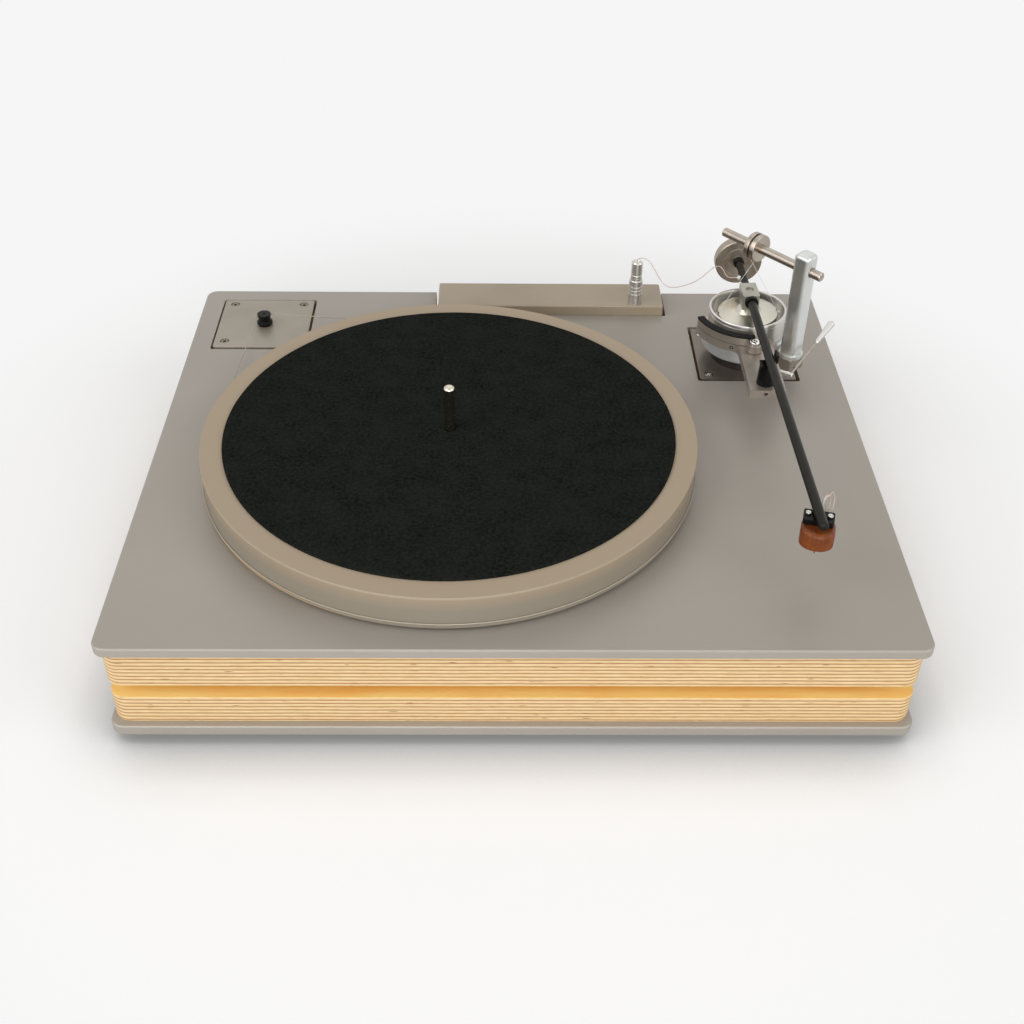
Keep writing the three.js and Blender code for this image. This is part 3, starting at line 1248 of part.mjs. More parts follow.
// A low carrier under the cartridge with the cantilever and its pointed tip
function stylusGeometry() {
  const carrier = new THREE.BoxGeometry(STYLUS_BLOCK_WIDTH, STYLUS_BLOCK_LENGTH, STYLUS_BLOCK_HEIGHT);
  carrier.translate(0, STYLUS_BLOCK_LENGTH / 2, -STYLUS_BLOCK_HEIGHT / 2);
  const rodHeight = CANTILEVER_RADIUS - STYLUS_BLOCK_HEIGHT;
  const cantilever = cylinder(CANTILEVER_RADIUS, -STYLUS_BLOCK_HEIGHT, CANTILEVER_LENGTH, HEX_SIDES);
  cantilever.rotateX(Math.PI / 2 + radians(CANTILEVER_DIP_DEG)).translate(0, 0, rodHeight);
  const dip = radians(CANTILEVER_DIP_DEG);
  const tip = turned([
    [0, -STYLUS_TIP_HEIGHT],
    [CANTILEVER_RADIUS, 0],
    [0, CANTILEVER_RADIUS],
  ], HEX_SIDES);
  const tipReach = (CANTILEVER_LENGTH - CANTILEVER_RADIUS * 2) * Math.cos(dip);
  const tipDrop = (CANTILEVER_LENGTH - CANTILEVER_RADIUS * 2) * Math.sin(dip);
  tip.translate(0, -tipReach, rodHeight - tipDrop);
  return join(carrier, cantilever, tip);
}

// Bracket clamped round the cup: an arc, the tongue to the front and the cam's housing below it
function addBracket(mount) {
  const top = BRACKET_BOTTOM + BRACKET_THICKNESS;
  const innerRadius = CUP_RADIUS + SEAT_GAP;
  const arc = ringSector(
    innerRadius, BRACKET_RADIUS, BRACKET_START_DEG, BRACKET_END_DEG, BRACKET_BOTTOM, top);
  const width = TONGUE_LEFT + TONGUE_RIGHT;
  const length = TONGUE_REACH - innerRadius;
  const tongue = new THREE.BoxGeometry(width, length, BRACKET_THICKNESS).translate(
    (TONGUE_RIGHT - TONGUE_LEFT) / 2, -(TONGUE_REACH + innerRadius) / 2, (BRACKET_BOTTOM + top) / 2);
  const housing = camBox(CAM_HOUSING_WALL, CAM_HOUSING_BOTTOM, BRACKET_BOTTOM + CUT_OVERRUN);
  const cavity = camBox(0, CAM_HOUSING_BOTTOM - CUT_OVERRUN, CAM_CAVITY_TOP);
  const guide = cylinder(
    holeRadius(PISTON_RADIUS, RUNNING_CLEARANCE, SMALL_SEGMENTS), AXLE_HEIGHT, top + CUT_OVERRUN,
    SMALL_SEGMENTS,
  ).translate(PISTON_X, PISTON_Y, 0);
  const axleBore = cylinder(
    holeRadius(AXLE_RADIUS, RUNNING_CLEARANCE, SMALL_SEGMENTS), -2 * AXLE_INNER_LENGTH,
    2 * AXLE_INNER_LENGTH, SMALL_SEGMENTS,
  ).rotateY(Math.PI / 2).rotateZ(radians(AXLE_TURN_DEG)).translate(PISTON_X, PISTON_Y, AXLE_HEIGHT);
  const lipScrew = cylinder(TONGUE_SCREW_RADIUS, 0, TONGUE_SCREW_DEPTH + CUT_OVERRUN, TINY_SEGMENTS)
    .rotateX(-Math.PI / 2)
    .translate(0, -TONGUE_REACH - CUT_OVERRUN, BRACKET_BOTTOM + BRACKET_THICKNESS / 2);
  const bracket = cut(
    join(arc, tongue, bracketFillet(top), housing), cavity, guide, axleBore, lipScrew,
    cylinder(innerRadius, BRACKET_BOTTOM - CUT_OVERRUN, top + CUT_OVERRUN, LARGE_SEGMENTS),
  );
  addPiece(mount, "lift_bracket", bracket, "aluminium");
}

// The room the cam turns in, or with a wall added, the housing round it, square to the axle
function camBox(wall, bottom, top) {
  const width = CAM_THICKNESS + 2 * (CAM_SIDE_GAP + wall);
  const front = CAM_BASE_RADIUS + CAM_SIDE_GAP + wall;
  const back = CAM_BASE_RADIUS + LIFT_TRAVEL + CAM_SIDE_GAP + wall;
  return new THREE.BoxGeometry(width, front + back, top - bottom)
    .translate(0, (back - front) / 2, (top + bottom) / 2)
    .rotateZ(radians(AXLE_TURN_DEG)).translate(PISTON_X, PISTON_Y, 0);
}

// The rounded inner corner between the arc's front edge and the tongue's left side
function bracketFillet(top) {
  const reach = BRACKET_RADIUS + BRACKET_FILLET_RADIUS;
  const centreX = -TONGUE_LEFT - BRACKET_FILLET_RADIUS;
  const centreY = -Math.sqrt(reach * reach - centreX * centreX);
  const touch = new THREE.Vector2(centreX, centreY).multiplyScalar(BRACKET_RADIUS / reach);
  const start = Math.atan2(touch.y - centreY, touch.x - centreX);
  const inside = BRACKET_THICKNESS / 2;
  const shape = new THREE.Shape();
  shape.moveTo(inside - TONGUE_LEFT, centreY);
  shape.lineTo(-TONGUE_LEFT, centreY);
  shape.absarc(centreX, centreY, BRACKET_FILLET_RADIUS, 0, start, false);
  shape.lineTo(touch.x, touch.y + inside);
  shape.lineTo(inside - TONGUE_LEFT, touch.y + inside);
  shape.closePath();
  return prism(shape, BRACKET_BOTTOM, top);
}

// Platform, pad and piston rise together when the lever turns the cam
function addLift(mount) {
  const arc = ringSector(
    PLATFORM_INNER_RADIUS, BRACKET_RADIUS, PLATFORM_START_DEG, PLATFORM_END_DEG,
    PLATFORM_BOTTOM, PLATFORM_TOP);
  const hub = cylinder(PLATFORM_HUB_RADIUS, PLATFORM_BOTTOM, PLATFORM_TOP, SMALL_SEGMENTS)
    .translate(PISTON_X, PISTON_Y, 0);
  const neckLength = -PISTON_Y - PLATFORM_INNER_RADIUS;
  const neck = new THREE.BoxGeometry(
    PLATFORM_NECK_WIDTH, neckLength, PLATFORM_TOP - PLATFORM_BOTTOM,
  ).translate(
    PISTON_X - SEAT_GAP, -PLATFORM_INNER_RADIUS - neckLength / 2 - SEAT_GAP,
    (PLATFORM_TOP + PLATFORM_BOTTOM) / 2);
  const bore = cylinder(
    PISTON_RADIUS + SEAT_GAP, PLATFORM_BOTTOM - CUT_OVERRUN, PLATFORM_TOP + CUT_OVERRUN,
    SMALL_SEGMENTS,
  ).translate(PISTON_X, PISTON_Y, 0);
  addPiece(mount, "lift_platform", cut(join(arc, neck, hub), bore), "aluminium");
  const pad = ringSector(
    PAD_INNER_RADIUS, PAD_OUTER_RADIUS, PLATFORM_START_DEG, PLATFORM_END_DEG,
    PLATFORM_TOP, PLATFORM_TOP + PAD_THICKNESS);
  addPiece(mount, "lift_pad", pad, "rubber");

  const tipBottom = AXLE_HEIGHT + CAM_BASE_RADIUS + CAM_GAP;
  const piston = cut(
    turned([
      [0, tipBottom],
      [PISTON_TIP_RADIUS, tipBottom + PISTON_TIP_RADIUS],
      [PISTON_RADIUS, tipBottom + PISTON_TIP_LENGTH],
      [PISTON_RADIUS, PISTON_TOP - PISTON_CHAMFER],
      [PISTON_RADIUS - PISTON_CHAMFER, PISTON_TOP],
      [0, PISTON_TOP],
    ], SMALL_SEGMENTS),
    cylinder(PISTON_SOCKET_RADIUS, PISTON_TOP - PISTON_SOCKET_DEPTH, PISTON_TOP + CUT_OVERRUN, HEX_SIDES),
  );
  addPiece(mount, "lift_piston", piston, "chrome").position.set(PISTON_X, PISTON_Y, 0);
}

// The cam's outline about the axle: a round base, a spiral that climbs by the travel over the
// lever's turn, a short nose and a straight way back. Angles run from the top towards the lever.
function camOutline() {
  const point = (degrees, radius) => {
    const angle = radians(degrees);
    return new THREE.Vector2(radius * Math.sin(angle), radius * Math.cos(angle));
  };
  const points = [];
  for (let i = 0; i <= CAM_STEPS; i++) {
    const share = i / CAM_STEPS;
    points.push(point(share * LEVER_TRAVEL_DEG, CAM_BASE_RADIUS + share * LIFT_TRAVEL));
  }
  points.push(point(LEVER_TRAVEL_DEG + CAM_NOSE_DEG, CAM_BASE_RADIUS + LIFT_TRAVEL));
  const returnStart = LEVER_TRAVEL_DEG + CAM_RETURN_DEG;
  for (let i = 0; i < CAM_STEPS; i++) {
    const share = i / CAM_STEPS;
    points.push(point(returnStart + share * (360 - returnStart), CAM_BASE_RADIUS));
  }
  return new THREE.Shape(points.reverse());
}

function addLever(mount) {
  const lever = addGroup(mount, PISTON_X, PISTON_Y, AXLE_HEIGHT);
  lever.rotation.z = radians(AXLE_TURN_DEG);
  const axle = turned([
    [0, -AXLE_INNER_LENGTH],
    [AXLE_RADIUS, -AXLE_INNER_LENGTH],
    [AXLE_RADIUS, AXLE_OUTER_LENGTH - AXLE_CHAMFER],
    [AXLE_RADIUS - AXLE_CHAMFER, AXLE_OUTER_LENGTH],
    [0, AXLE_OUTER_LENGTH],
  ], SMALL_SEGMENTS).rotateY(Math.PI / 2);
  const cam = prism(camOutline(), -CAM_THICKNESS / 2, CAM_THICKNESS / 2)
    .rotateY(Math.PI / 2).rotateX(Math.PI / 2);
  addPiece(lever, "lift_axle", join(axle, cam), "chrome");

  const hand = addGroup(lever, AXLE_OUTER_LENGTH - LEVER_SETBACK, 0, 0);
  hand.rotation.order = "ZYX";
  hand.rotation.z = radians(LEVER_AZIMUTH_DEG - AXLE_TURN_DEG);
  hand.rotation.y = -radians(LEVER_RISE_DEG);
  const rodStart = AXLE_RADIUS + SEAT_GAP;
  const handleStart = rodStart + LEVER_ROD_LENGTH;
  const handleEnd = handleStart + HANDLE_LENGTH;
  const rod = turned([
    [0, rodStart],
    [LEVER_ROD_RADIUS, rodStart],
    [LEVER_ROD_RADIUS, handleStart],
    [HANDLE_THIN_RADIUS, handleStart],
    [HANDLE_THICK_RADIUS, handleEnd - HANDLE_ROUNDING],
    [HANDLE_THICK_RADIUS - HANDLE_ROUNDING, handleEnd],
    [0, handleEnd],
  ], TINY_SEGMENTS).rotateY(Math.PI / 2);
  addPiece(hand, "lift_lever", rod, "aluminium");
}

// The parking rest: a round post with a hook that is open to the left and above
function addRest(mount) {
  const bracketTop = BRACKET_BOTTOM + BRACKET_THICKNESS;
  const tubeHeight = TILT_AXIS_HEIGHT + TUBE_HEIGHT * Math.cos(armPose.y);
  const innerRadius = TUBE_RADIUS + REST_CLIP_GAP;
  const outerRadius = innerRadius + REST_CLIP_WALL;
  const hook = new THREE.Shape();
  hook.moveTo(-REST_CLIP_LIP, -outerRadius);
  hook.lineTo(0, -outerRadius);
  hook.absarc(0, 0, outerRadius, -Math.PI / 2, 0, false);
  hook.lineTo(outerRadius, REST_CLIP_RISE);
  hook.lineTo(innerRadius, REST_CLIP_RISE);
  hook.lineTo(innerRadius, 0);
  hook.absarc(0, 0, innerRadius, 0, -Math.PI / 2, true);
  hook.lineTo(-REST_CLIP_LIP, -innerRadius);
  hook.closePath();
  const clip = prism(hook, -REST_CLIP_LENGTH / 2, REST_CLIP_LENGTH / 2)
    .rotateX(Math.PI / 2).rotateZ(radians(ARM_YAW_DEG)).translate(0, 0, tubeHeight);
  const postTop = tubeHeight - outerRadius + REST_CLIP_WALL / 2;
  const post = turned([
    [0, bracketTop],
    [REST_POST_RADIUS, bracketTop],
    [REST_POST_TOP_RADIUS, postTop],
    [0, postTop],
  ], MEDIUM_SEGMENTS);
  addPiece(mount, "arm_rest", join(clip, post), "blackPlastic").position.set(REST_X, REST_Y, 0);
}

const turntable = new THREE.Group();
addPlinth(turntable);
const deck = addGroup(turntable, 0, 0, plateTop);
addTopPlate(deck);
addPlatter(deck);
addMotor(deck);
addBelt(deck);
addTerminals(deck);
addConnector(deck);
addArmWire(deck);
addArmMount(deck);
addFilaments(deck);
addArm(deck);
const liftMount = addGroup(deck, pivotX, pivotY, 0);
addBracket(liftMount);
addLift(liftMount);
addLever(liftMount);
addRest(liftMount);

export default turntable;
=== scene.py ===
"""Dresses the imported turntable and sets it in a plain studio, seen from the photograph's angle.

Sizes are in millimetres, and heights on the deck are counted from the top plate's upper face.
"""

import logging
import math
from collections.abc import Iterable, Sequence
from dataclasses import dataclass
from enum import Enum

import bmesh
import bpy
from mathutils import Matrix, Vector

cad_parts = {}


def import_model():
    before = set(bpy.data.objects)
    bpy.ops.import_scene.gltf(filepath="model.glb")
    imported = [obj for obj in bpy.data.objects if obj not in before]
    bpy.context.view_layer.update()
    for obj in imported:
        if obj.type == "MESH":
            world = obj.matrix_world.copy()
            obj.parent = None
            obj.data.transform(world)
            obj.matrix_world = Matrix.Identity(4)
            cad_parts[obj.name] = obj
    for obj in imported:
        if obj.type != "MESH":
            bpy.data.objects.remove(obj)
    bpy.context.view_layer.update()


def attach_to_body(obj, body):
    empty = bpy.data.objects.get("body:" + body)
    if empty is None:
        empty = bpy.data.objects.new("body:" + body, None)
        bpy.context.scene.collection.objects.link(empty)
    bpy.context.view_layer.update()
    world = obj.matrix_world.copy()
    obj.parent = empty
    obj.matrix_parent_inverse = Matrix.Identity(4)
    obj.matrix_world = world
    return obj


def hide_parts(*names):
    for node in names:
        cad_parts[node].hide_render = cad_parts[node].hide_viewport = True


LOG = logging.getLogger("turntable")
MM_PER_M = 1000.0
DECK_HEIGHT = 80.1
PLATTER_CENTRE = (-41.2, -24.0)
MOTOR_CENTRE = (-188.9, 150.65)
# The arm's upright axis, the lean of the parked arm and the height of its tube above its pivot.
PIVOT = (173.0, 112.0)
TILT_AXIS_HEIGHT = 34.5
ARM_YAW_DEG = 0.95
ARM_ROLL_DEG = -2.0
TUBE_HEIGHT = 15.2
HEADSHELL_PLACE = (0.2, -250.5, TUBE_HEIGHT)
HEADSHELL_TURN_DEG = -15.8
GANTRY_TURN_DEG = -49.0
# The UV map that runs round a turned piece with its lathe marks.
TURNING = "turning"
# The sockets of a Mix node that blends colours: its share, the two colours and the blend.
SHARE, FIRST, SECOND, BLEND = 0, 6, 7, 2
# The values between which a noise pattern mostly lies.
NOISE_LOW, NOISE_HIGH = 0.3, 0.7
# About how often a wave pattern of scale 1 repeats in a metre.
WAVE_REPEATS = 3

Profile = Sequence[tuple[float, float]]
Point = tuple[float, float, float]
Socket = bpy.types.NodeSocket
Tree = bpy.types.NodeTree
Piece = bpy.types.Object


class Facing(Enum):
    """The direction in which the height of a spun profile runs."""

    UP = Matrix.Identity(4)
    FRONT = Matrix.Rotation(math.radians(90), 4, "X")
    BACK = Matrix.Rotation(math.radians(-90), 4, "X")
    RIGHT = Matrix.Rotation(math.radians(90), 4, "Y")


class Body(Enum):
    """The rigid bodies that pieces ride on."""

    PLINTH = "plinth"
    PLATTER = "platter"
    PULLEY = "pulley"
    SUSPENSION = "suspension"
    ARM = "arm"
    WEIGHT = "weight"
    LEVER = "lever"
    LIFT = "lift"
    BIAS = "bias"


def shifted(x: float, y: float, z: float) -> Matrix:
    """Return the matrix that moves by a distance in millimetres."""
    return Matrix.Translation((x, y, z))


def turned(degrees: float, axis: str) -> Matrix:
    """Return the matrix that turns by an angle about a named axis."""
    return Matrix.Rotation(math.radians(degrees), 4, axis)


def deck(x: float = 0.0, y: float = 0.0, z: float = 0.0) -> Matrix:
    """Return the place of a point that is counted from the top plate's centre."""
    return shifted(x, y, z + DECK_HEIGHT)


def mount() -> Matrix:
    """Return the place of the arm's upright axis on the deck."""
    return deck(*PIVOT)


def gantry() -> Matrix:
    """Return the arm mount's place, turned so that X runs along the gantry rod."""
    return mount() @ turned(GANTRY_TURN_DEG, "Z")


def hanging_arm() -> Matrix:
    """Return the place and the slight lean of the parked arm, at its tilting axis."""
    return deck(*PIVOT, TILT_AXIS_HEIGHT) @ turned(ARM_YAW_DEG, "Z") @ turned(ARM_ROLL_DEG, "Y")


def headshell() -> Matrix:
    """Return the headshell's place under the tube's front end."""
    end = hanging_arm() @ shifted(*HEADSHELL_PLACE)
    return end @ turned(-ARM_ROLL_DEG, "Y") @ turned(HEADSHELL_TURN_DEG, "Z")


def linear(colour: str) -> tuple[float, float, float, float]:
    """Turn a colour written for the screen into the linear values that shaders use.

    Args:
        colour: An sRGB value such as "#9A968F".

    Returns:
        Red, green, blue and a full alpha.
    """
    channels = [int(colour[i : i + 2], 16) / 255 for i in (1, 3, 5)]
    values = [c / 12.92 if c <= 0.04045 else ((c + 0.055) / 1.055) ** 2.4 for c in channels]
    return (values[0], values[1], values[2], 1.0)


def per_metre(size_mm: float) -> float:
    """Return the texture scale at which a pattern repeats every size_mm on Object coordinates."""
    return MM_PER_M / size_mm


def add_node(
    tree: Tree,
    kind: str,
    inputs: dict[str | int, object] | None = None,
    stops: Sequence[tuple[float, str]] = (),
    **settings: object,
) -> bpy.types.Node:
    """Add one node with its settings, its input values or links, and a ramp's stops.

    Args:
        tree: The node tree to add to.
        kind: The node's type name, after the "ShaderNode" that they all start with.
        inputs: By input name or number, a value, an output socket to link from, or a node
            to link from its first output.
        stops: Place and colour of each stop, for a colour ramp.
        **settings: The node's own properties.

    Returns:
        The new node.
    """
    node = tree.nodes.new(f"ShaderNode{kind}")
    for name, value in settings.items():
        setattr(node, name, value)
    for key, value in (inputs or {}).items():
        source = value.outputs[0] if isinstance(value, bpy.types.Node) else value
        if isinstance(source, Socket):
            tree.links.new(source, node.inputs[key])
        else:
            node.inputs[key].default_value = source
    if stops:
        ramp = node.color_ramp
        while len(ramp.elements) < len(stops):
            ramp.elements.new(1.0)
        for element, (position, colour) in zip(ramp.elements, stops):
            element.position = position
            element.color = linear(colour)
    return node


def cleared_tree(owner: bpy.types.Material | bpy.types.World) -> Tree:
    """Return the node tree of a new material or world, emptied.

    Args:
        owner: The material or world.

    Returns:
        Its empty tree.
    """
    owner.use_nodes = True
    owner.node_tree.nodes.clear()
    return owner.node_tree


@dataclass(frozen=True)
class Site:
    """A material in the making: its node tree, its shader and the Object coordinates."""

    tree: Tree
    shader: bpy.types.Node
    place: Socket

    def link(self, name: str, source: Socket) -> None:
        """Link a socket to one of the shader's inputs."""
        self.tree.links.new(source, self.shader.inputs[name])


@dataclass(frozen=True)
class Finish:
    """One surface finish: a real material and how its surface was made."""

    name: str
    slot: str
    colour: str
    second: str
    roughness: float
    metallic: float = 0.0
    blotch_mm: float = 60.0
    grain_mm: float = 0.8
    grain_depth_mm: float = 0.01
    roughness_spread: float = 0.06
    stretch: Point = (1.0, 1.0, 1.0)
    specular: float = 0.5

    def material(self) -> bpy.types.Material:
        """Return the finish's material, built on its first use."""
        found = bpy.data.materials.get(self.name)
        if found:
            return found
        made = bpy.data.materials.new(self.name)
        tree = cleared_tree(made)
        values = {
            "Roughness": self.roughness,
            "Metallic": self.metallic,
            "Specular IOR Level": self.specular,
        }
        shader = add_node(tree, "BsdfPrincipled", values)
        add_node(tree, "OutputMaterial", {"Surface": shader})
        self.dress(Site(tree, shader, add_node(tree, "TexCoord").outputs["Object"]))
        return made

    def dress(self, site: Site) -> None:
        """Give the shader its colour, roughness and grain."""
        site.link("Base Color", self.blotches(site))
        self.grain(site)

    def blotches(self, site: Site) -> Socket:
        """Return a slow colour change between the two tones, as handling and light leave.

        Args:
            site: The material in the making.

        Returns:
            The colour.
        """
        cloud = {"Vector": site.place, "Scale": per_metre(self.blotch_mm), "Detail": 5.0}
        slow = add_node(site.tree, "TexNoise", cloud)
        stops = ((NOISE_LOW, self.colour), (0.72, self.second))
        return add_node(site.tree, "ValToRGB", {0: slow}, stops).outputs[0]

    def grain(self, site: Site) -> None:
        """Cover the surface with its fine grain."""
        scale = tuple(stretch * per_metre(self.grain_mm) for stretch in self.stretch)
        self.relieve(site, site.place, scale, 3.0)

    def relieve(self, site: Site, place: Socket, scale: Point, detail: float) -> None:
        """Lay a fine pattern that varies the roughness and stands out as relief.

        Args:
            site: The material in the making.
            place: The coordinates that the pattern lies on.
            scale: How often it repeats in one unit of them, along each axis.
            detail: How many finer layers it has.
        """
        spread = add_node(site.tree, "Mapping", {"Vector": place, "Scale": scale})
        fine = add_node(site.tree, "TexNoise", {"Vector": spread, "Scale": 1.0, "Detail": detail})
        sheen = {
            "Value": fine, "From Min": NOISE_LOW, "From Max": NOISE_HIGH,
            "To Min": self.roughness - self.roughness_spread,
            "To Max": self.roughness + self.roughness_spread,
        }
        site.link("Roughness", add_node(site.tree, "MapRange", sheen).outputs[0])
        relief = {"Height": fine, "Distance": self.grain_depth_mm / MM_PER_M, "Strength": 1.0}
        site.link("Normal", add_node(site.tree, "Bump", relief).outputs[0])


@dataclass(frozen=True)
class TurnedMetal(Finish):
    """Metal turned on a lathe: fine rings that stretch each highlight across them."""

    anisotropy: float = 0.7
    across_the_marks: float = 0.25
    ring_mm: float = 0.5
    waves_per_turn: float = 0.4

    def dress(self, site: Site) -> None:
        """Lay the turning marks round the piece's own axis.

        Args:
            site: The material in the making.
        """
        site.link("Base Color", self.blotches(site))
        tangent = add_node(site.tree, "Tangent", direction_type="UV_MAP", uv_map=TURNING)
        site.link("Tangent", tangent.outputs[0])
        site.shader.inputs["Anisotropic"].default_value = self.anisotropy
        site.shader.inputs["Anisotropic Rotation"].default_value = self.across_the_marks
        around = add_node(site.tree, "UVMap", uv_map=TURNING).outputs[0]
        scale = (self.waves_per_turn, per_metre(self.ring_mm), 1.0)
        self.relieve(site, around, scale, 2.0)


@dataclass(frozen=True)
class PlywoodEdge(Finish):
    """Birch plywood seen on its sawn edge: pale long-grain plies between brown end-grain ones."""

    top_mm: float = 0.0
    period_mm: float = 2.82
    pale_middle: float = 0.8
    wander_mm: float = 45.0
    wander_depth_mm: float = 0.7
    streak_mm: Point = (9.0, 9.0, 0.7)
    streak_strength: float = 0.75
    knot_mm: Point = (13.0, 13.0, 1.3)
    figure_mm: Point = (60.0, 9.0, 9.0)
    dark_ply: str = "#C39269"
    glue_line: str = "#9C6A46"
    knot: str = "#7A4A26"
    veneer: str = "#FFE08F"
    veneer_shade: str = "#FBCB73"

    def dress(self, site: Site) -> None:
        """Stack the plies, draw streaks and a few knots on them, and lay the face veneer.

        Args:
            site: The material in the making.
        """
        tree = site.tree
        layered = self.plies(site)
        pale_streaks = ((0.3, "#EBDCC4"), (0.6, "#FFFFFF"))
        streaks = self.figure(site, self.streak_mm, 4.0, pale_streaks)
        streaked = {SHARE: self.streak_strength, FIRST: layered, SECOND: streaks}
        toned = add_node(tree, "Mix", streaked, data_type="RGBA", blend_type="MULTIPLY")
        knots = self.figure(site, self.knot_mm, 1.5, ((0.69, "#000000"), (0.76, "#FFFFFF")))
        normal = add_node(tree, "NewGeometry").outputs["Normal"]
        upward = add_node(tree, "SeparateXYZ", {0: normal}).outputs["Z"]
        flat = add_node(tree, "Math", {0: upward}, operation="ABSOLUTE").outputs[0]
        edge = add_node(tree, "Math", {0: 1.0, 1: flat}, operation="SUBTRACT")
        sawn = add_node(tree, "Math", {0: knots, 1: edge}, operation="MULTIPLY").outputs[0]
        face_tones = ((0.35, self.veneer), (0.7, self.veneer_shade))
        face = self.figure(site, self.figure_mm, 4.0, face_tones)
        marked = {SHARE: sawn, FIRST: toned.outputs[BLEND], SECOND: linear(self.knot)}
        knotted = add_node(tree, "Mix", marked, data_type="RGBA")
        faced = {SHARE: flat, FIRST: knotted.outputs[BLEND], SECOND: face}
        site.link("Base Color", add_node(tree, "Mix", faced, data_type="RGBA").outputs[BLEND])
        relief = {"Height": layered, "Distance": self.grain_depth_mm / MM_PER_M, "Strength": 1.0}
        site.link("Normal", add_node(tree, "Bump", relief).outputs[0])

    def plies(self, site: Site) -> Socket:
        """Return the plies' colours by height, counted down from the board's top face.

        Args:
            site: The material in the making.

        Returns:
            The colour, which repeats with each pair of plies and wanders a little.
        """
        height = add_node(site.tree, "SeparateXYZ", {0: site.place}).outputs["Z"]
        slow = {"Vector": site.place, "Scale": per_metre(self.wander_mm), "Detail": 2.0}
        wander = add_node(site.tree, "TexNoise", slow)
        depth = self.wander_depth_mm / MM_PER_M
        wavy = add_node(
            site.tree, "Math", {0: wander, 1: depth, 2: height}, operation="MULTIPLY_ADD"
        )
        phase = self.pale_middle - self.top_mm / self.period_mm
        count = {0: wavy, 1: per_metre(self.period_mm), 2: phase}
        plies = add_node(site.tree, "Math", count, operation="MULTIPLY_ADD")
        share = add_node(site.tree, "Math", {0: plies}, operation="FRACT")
        stops = (
            (0.0, self.glue_line), (0.1, self.dark_ply), (0.2, self.dark_ply),
            (0.32, self.second), (0.45, self.colour), (0.92, self.colour), (1.0, self.glue_line),
        )
        return add_node(site.tree, "ValToRGB", {0: share}, stops).outputs[0]

    def figure(
        self, site: Site, size_mm: Point, detail: float, stops: Sequence[tuple[float, str]]
    ) -> Socket:
        """Return a drawn-out pattern of the wood in its own tones.

        Args:
            site: The material in the making.
            size_mm: How long its features are along each axis.
            detail: How many finer layers it has.
            stops: The tones from its low to its high parts.

        Returns:
            The pattern's colour.
        """
        scale = tuple(map(per_metre, size_mm))
        drawn = add_node(site.tree, "Mapping", {"Vector": site.place, "Scale": scale})
        wood = add_node(site.tree, "TexNoise", {"Vector": drawn, "Scale": 1.0, "Detail": detail})
        return add_node(site.tree, "ValToRGB", {0: wood}, stops).outputs[0]


@dataclass(frozen=True)
class Suede(Finish):
    """Split leather with a short nap: no shine, a soft mottle and pale specks of lint."""

    raised: str = "#282A26"
    nap_mm: float = 2.2
    lint: str = "#4B4D48"
    lint_mm: float = 3.2

    def dress(self, site: Site) -> None:
        """Mottle the nap at two scales and scatter the lint.

        Args:
            site: The material in the making.
        """
        tree, place = site.tree, site.place
        grit = {"Vector": place, "Scale": per_metre(self.nap_mm), "Detail": 8.0, "Roughness": 0.7}
        nap = add_node(tree, "TexNoise", grit)
        tufts = add_node(tree, "MapRange", {"Value": nap, "From Min": 0.36, "From Max": 0.66})
        brushed = {SHARE: tufts, FIRST: self.blotches(site), SECOND: linear(self.raised)}
        napped = add_node(tree, "Mix", brushed, data_type="RGBA").outputs[BLEND]
        scatter = {"Vector": place, "Scale": per_metre(self.lint_mm)}
        away = add_node(tree, "TexVoronoi", scatter).outputs["Distance"]
        specks = add_node(tree, "ValToRGB", {0: away}, ((0.045, "#8A8A8A"), (0.09, "#000000")))
        dotted = {SHARE: specks, FIRST: napped, SECOND: linear(self.lint)}
        site.link("Base Color", add_node(tree, "Mix", dotted, data_type="RGBA").outputs[BLEND])
        self.grain(site)


@dataclass(frozen=True)
class FrostedAcrylic(Finish):
    """Thick cast acrylic with a sanded skin, with painted shade on its side and a painted highlight
    on its rim.
    """

    low_mm: float = 0.0
    high_mm: float = 0.0
    # The side colour is painted shade, the edge colour a painted rim highlight and the glow colour
    # a painted warm glow.
    side: str = "#8F8677"
    edge: str = "#ADA08B"
    glow: str = "#C29B66"
    painted_glow_full_mm: float = -175.0
    painted_glow_end_mm: float = -85.0

    def dress(self, site: Site) -> None:
        """Tone the disc by height with painted shade on its side and a painted highlight on its
        rim, and paint a warm glow on its lower edge on the side away from the arm.

        Args:
            site: The material in the making.
        """
        tree = site.tree
        axes = add_node(tree, "SeparateXYZ", {0: site.place}).outputs
        bottom, top = self.low_mm / MM_PER_M, self.high_mm / MM_PER_M
        rise = {"Value": axes["Z"], "From Min": bottom, "From Max": top}
        share = add_node(tree, "MapRange", rise).outputs[0]
        # Painted shade on the side, lightening upwards to a painted highlight in the band just
        # below the top face.
        stops = (
            (0.0, self.side), (0.55, self.side), (0.93, self.second), (0.965, self.edge),
            (0.995, self.edge), (1.0, self.colour),
        )
        toned = add_node(tree, "ValToRGB", {0: share}, stops).outputs[0]
        falling = {"To Min": 1.0, "To Max": 0.0}
        # A painted warm glow on the lower edge, strongest on the left, away from the arm.
        full, end = self.painted_glow_full_mm / MM_PER_M, self.painted_glow_end_mm / MM_PER_M
        left = {"Value": axes["X"], "From Min": full, "From Max": end, **falling}
        low = {"Value": share, "From Min": 0.05, "From Max": 0.12, **falling}
        painted_glow_masks = {0: add_node(tree, "MapRange", left), 1: add_node(tree, "MapRange", low)}
        painted_glow_share = add_node(tree, "Math", painted_glow_masks, operation="MULTIPLY")
        painted_glow_blend = {SHARE: painted_glow_share, FIRST: toned, SECOND: linear(self.glow)}
        site.link("Base Color", add_node(tree, "Mix", painted_glow_blend, data_type="RGBA").outputs[BLEND])
        self.grain(site)


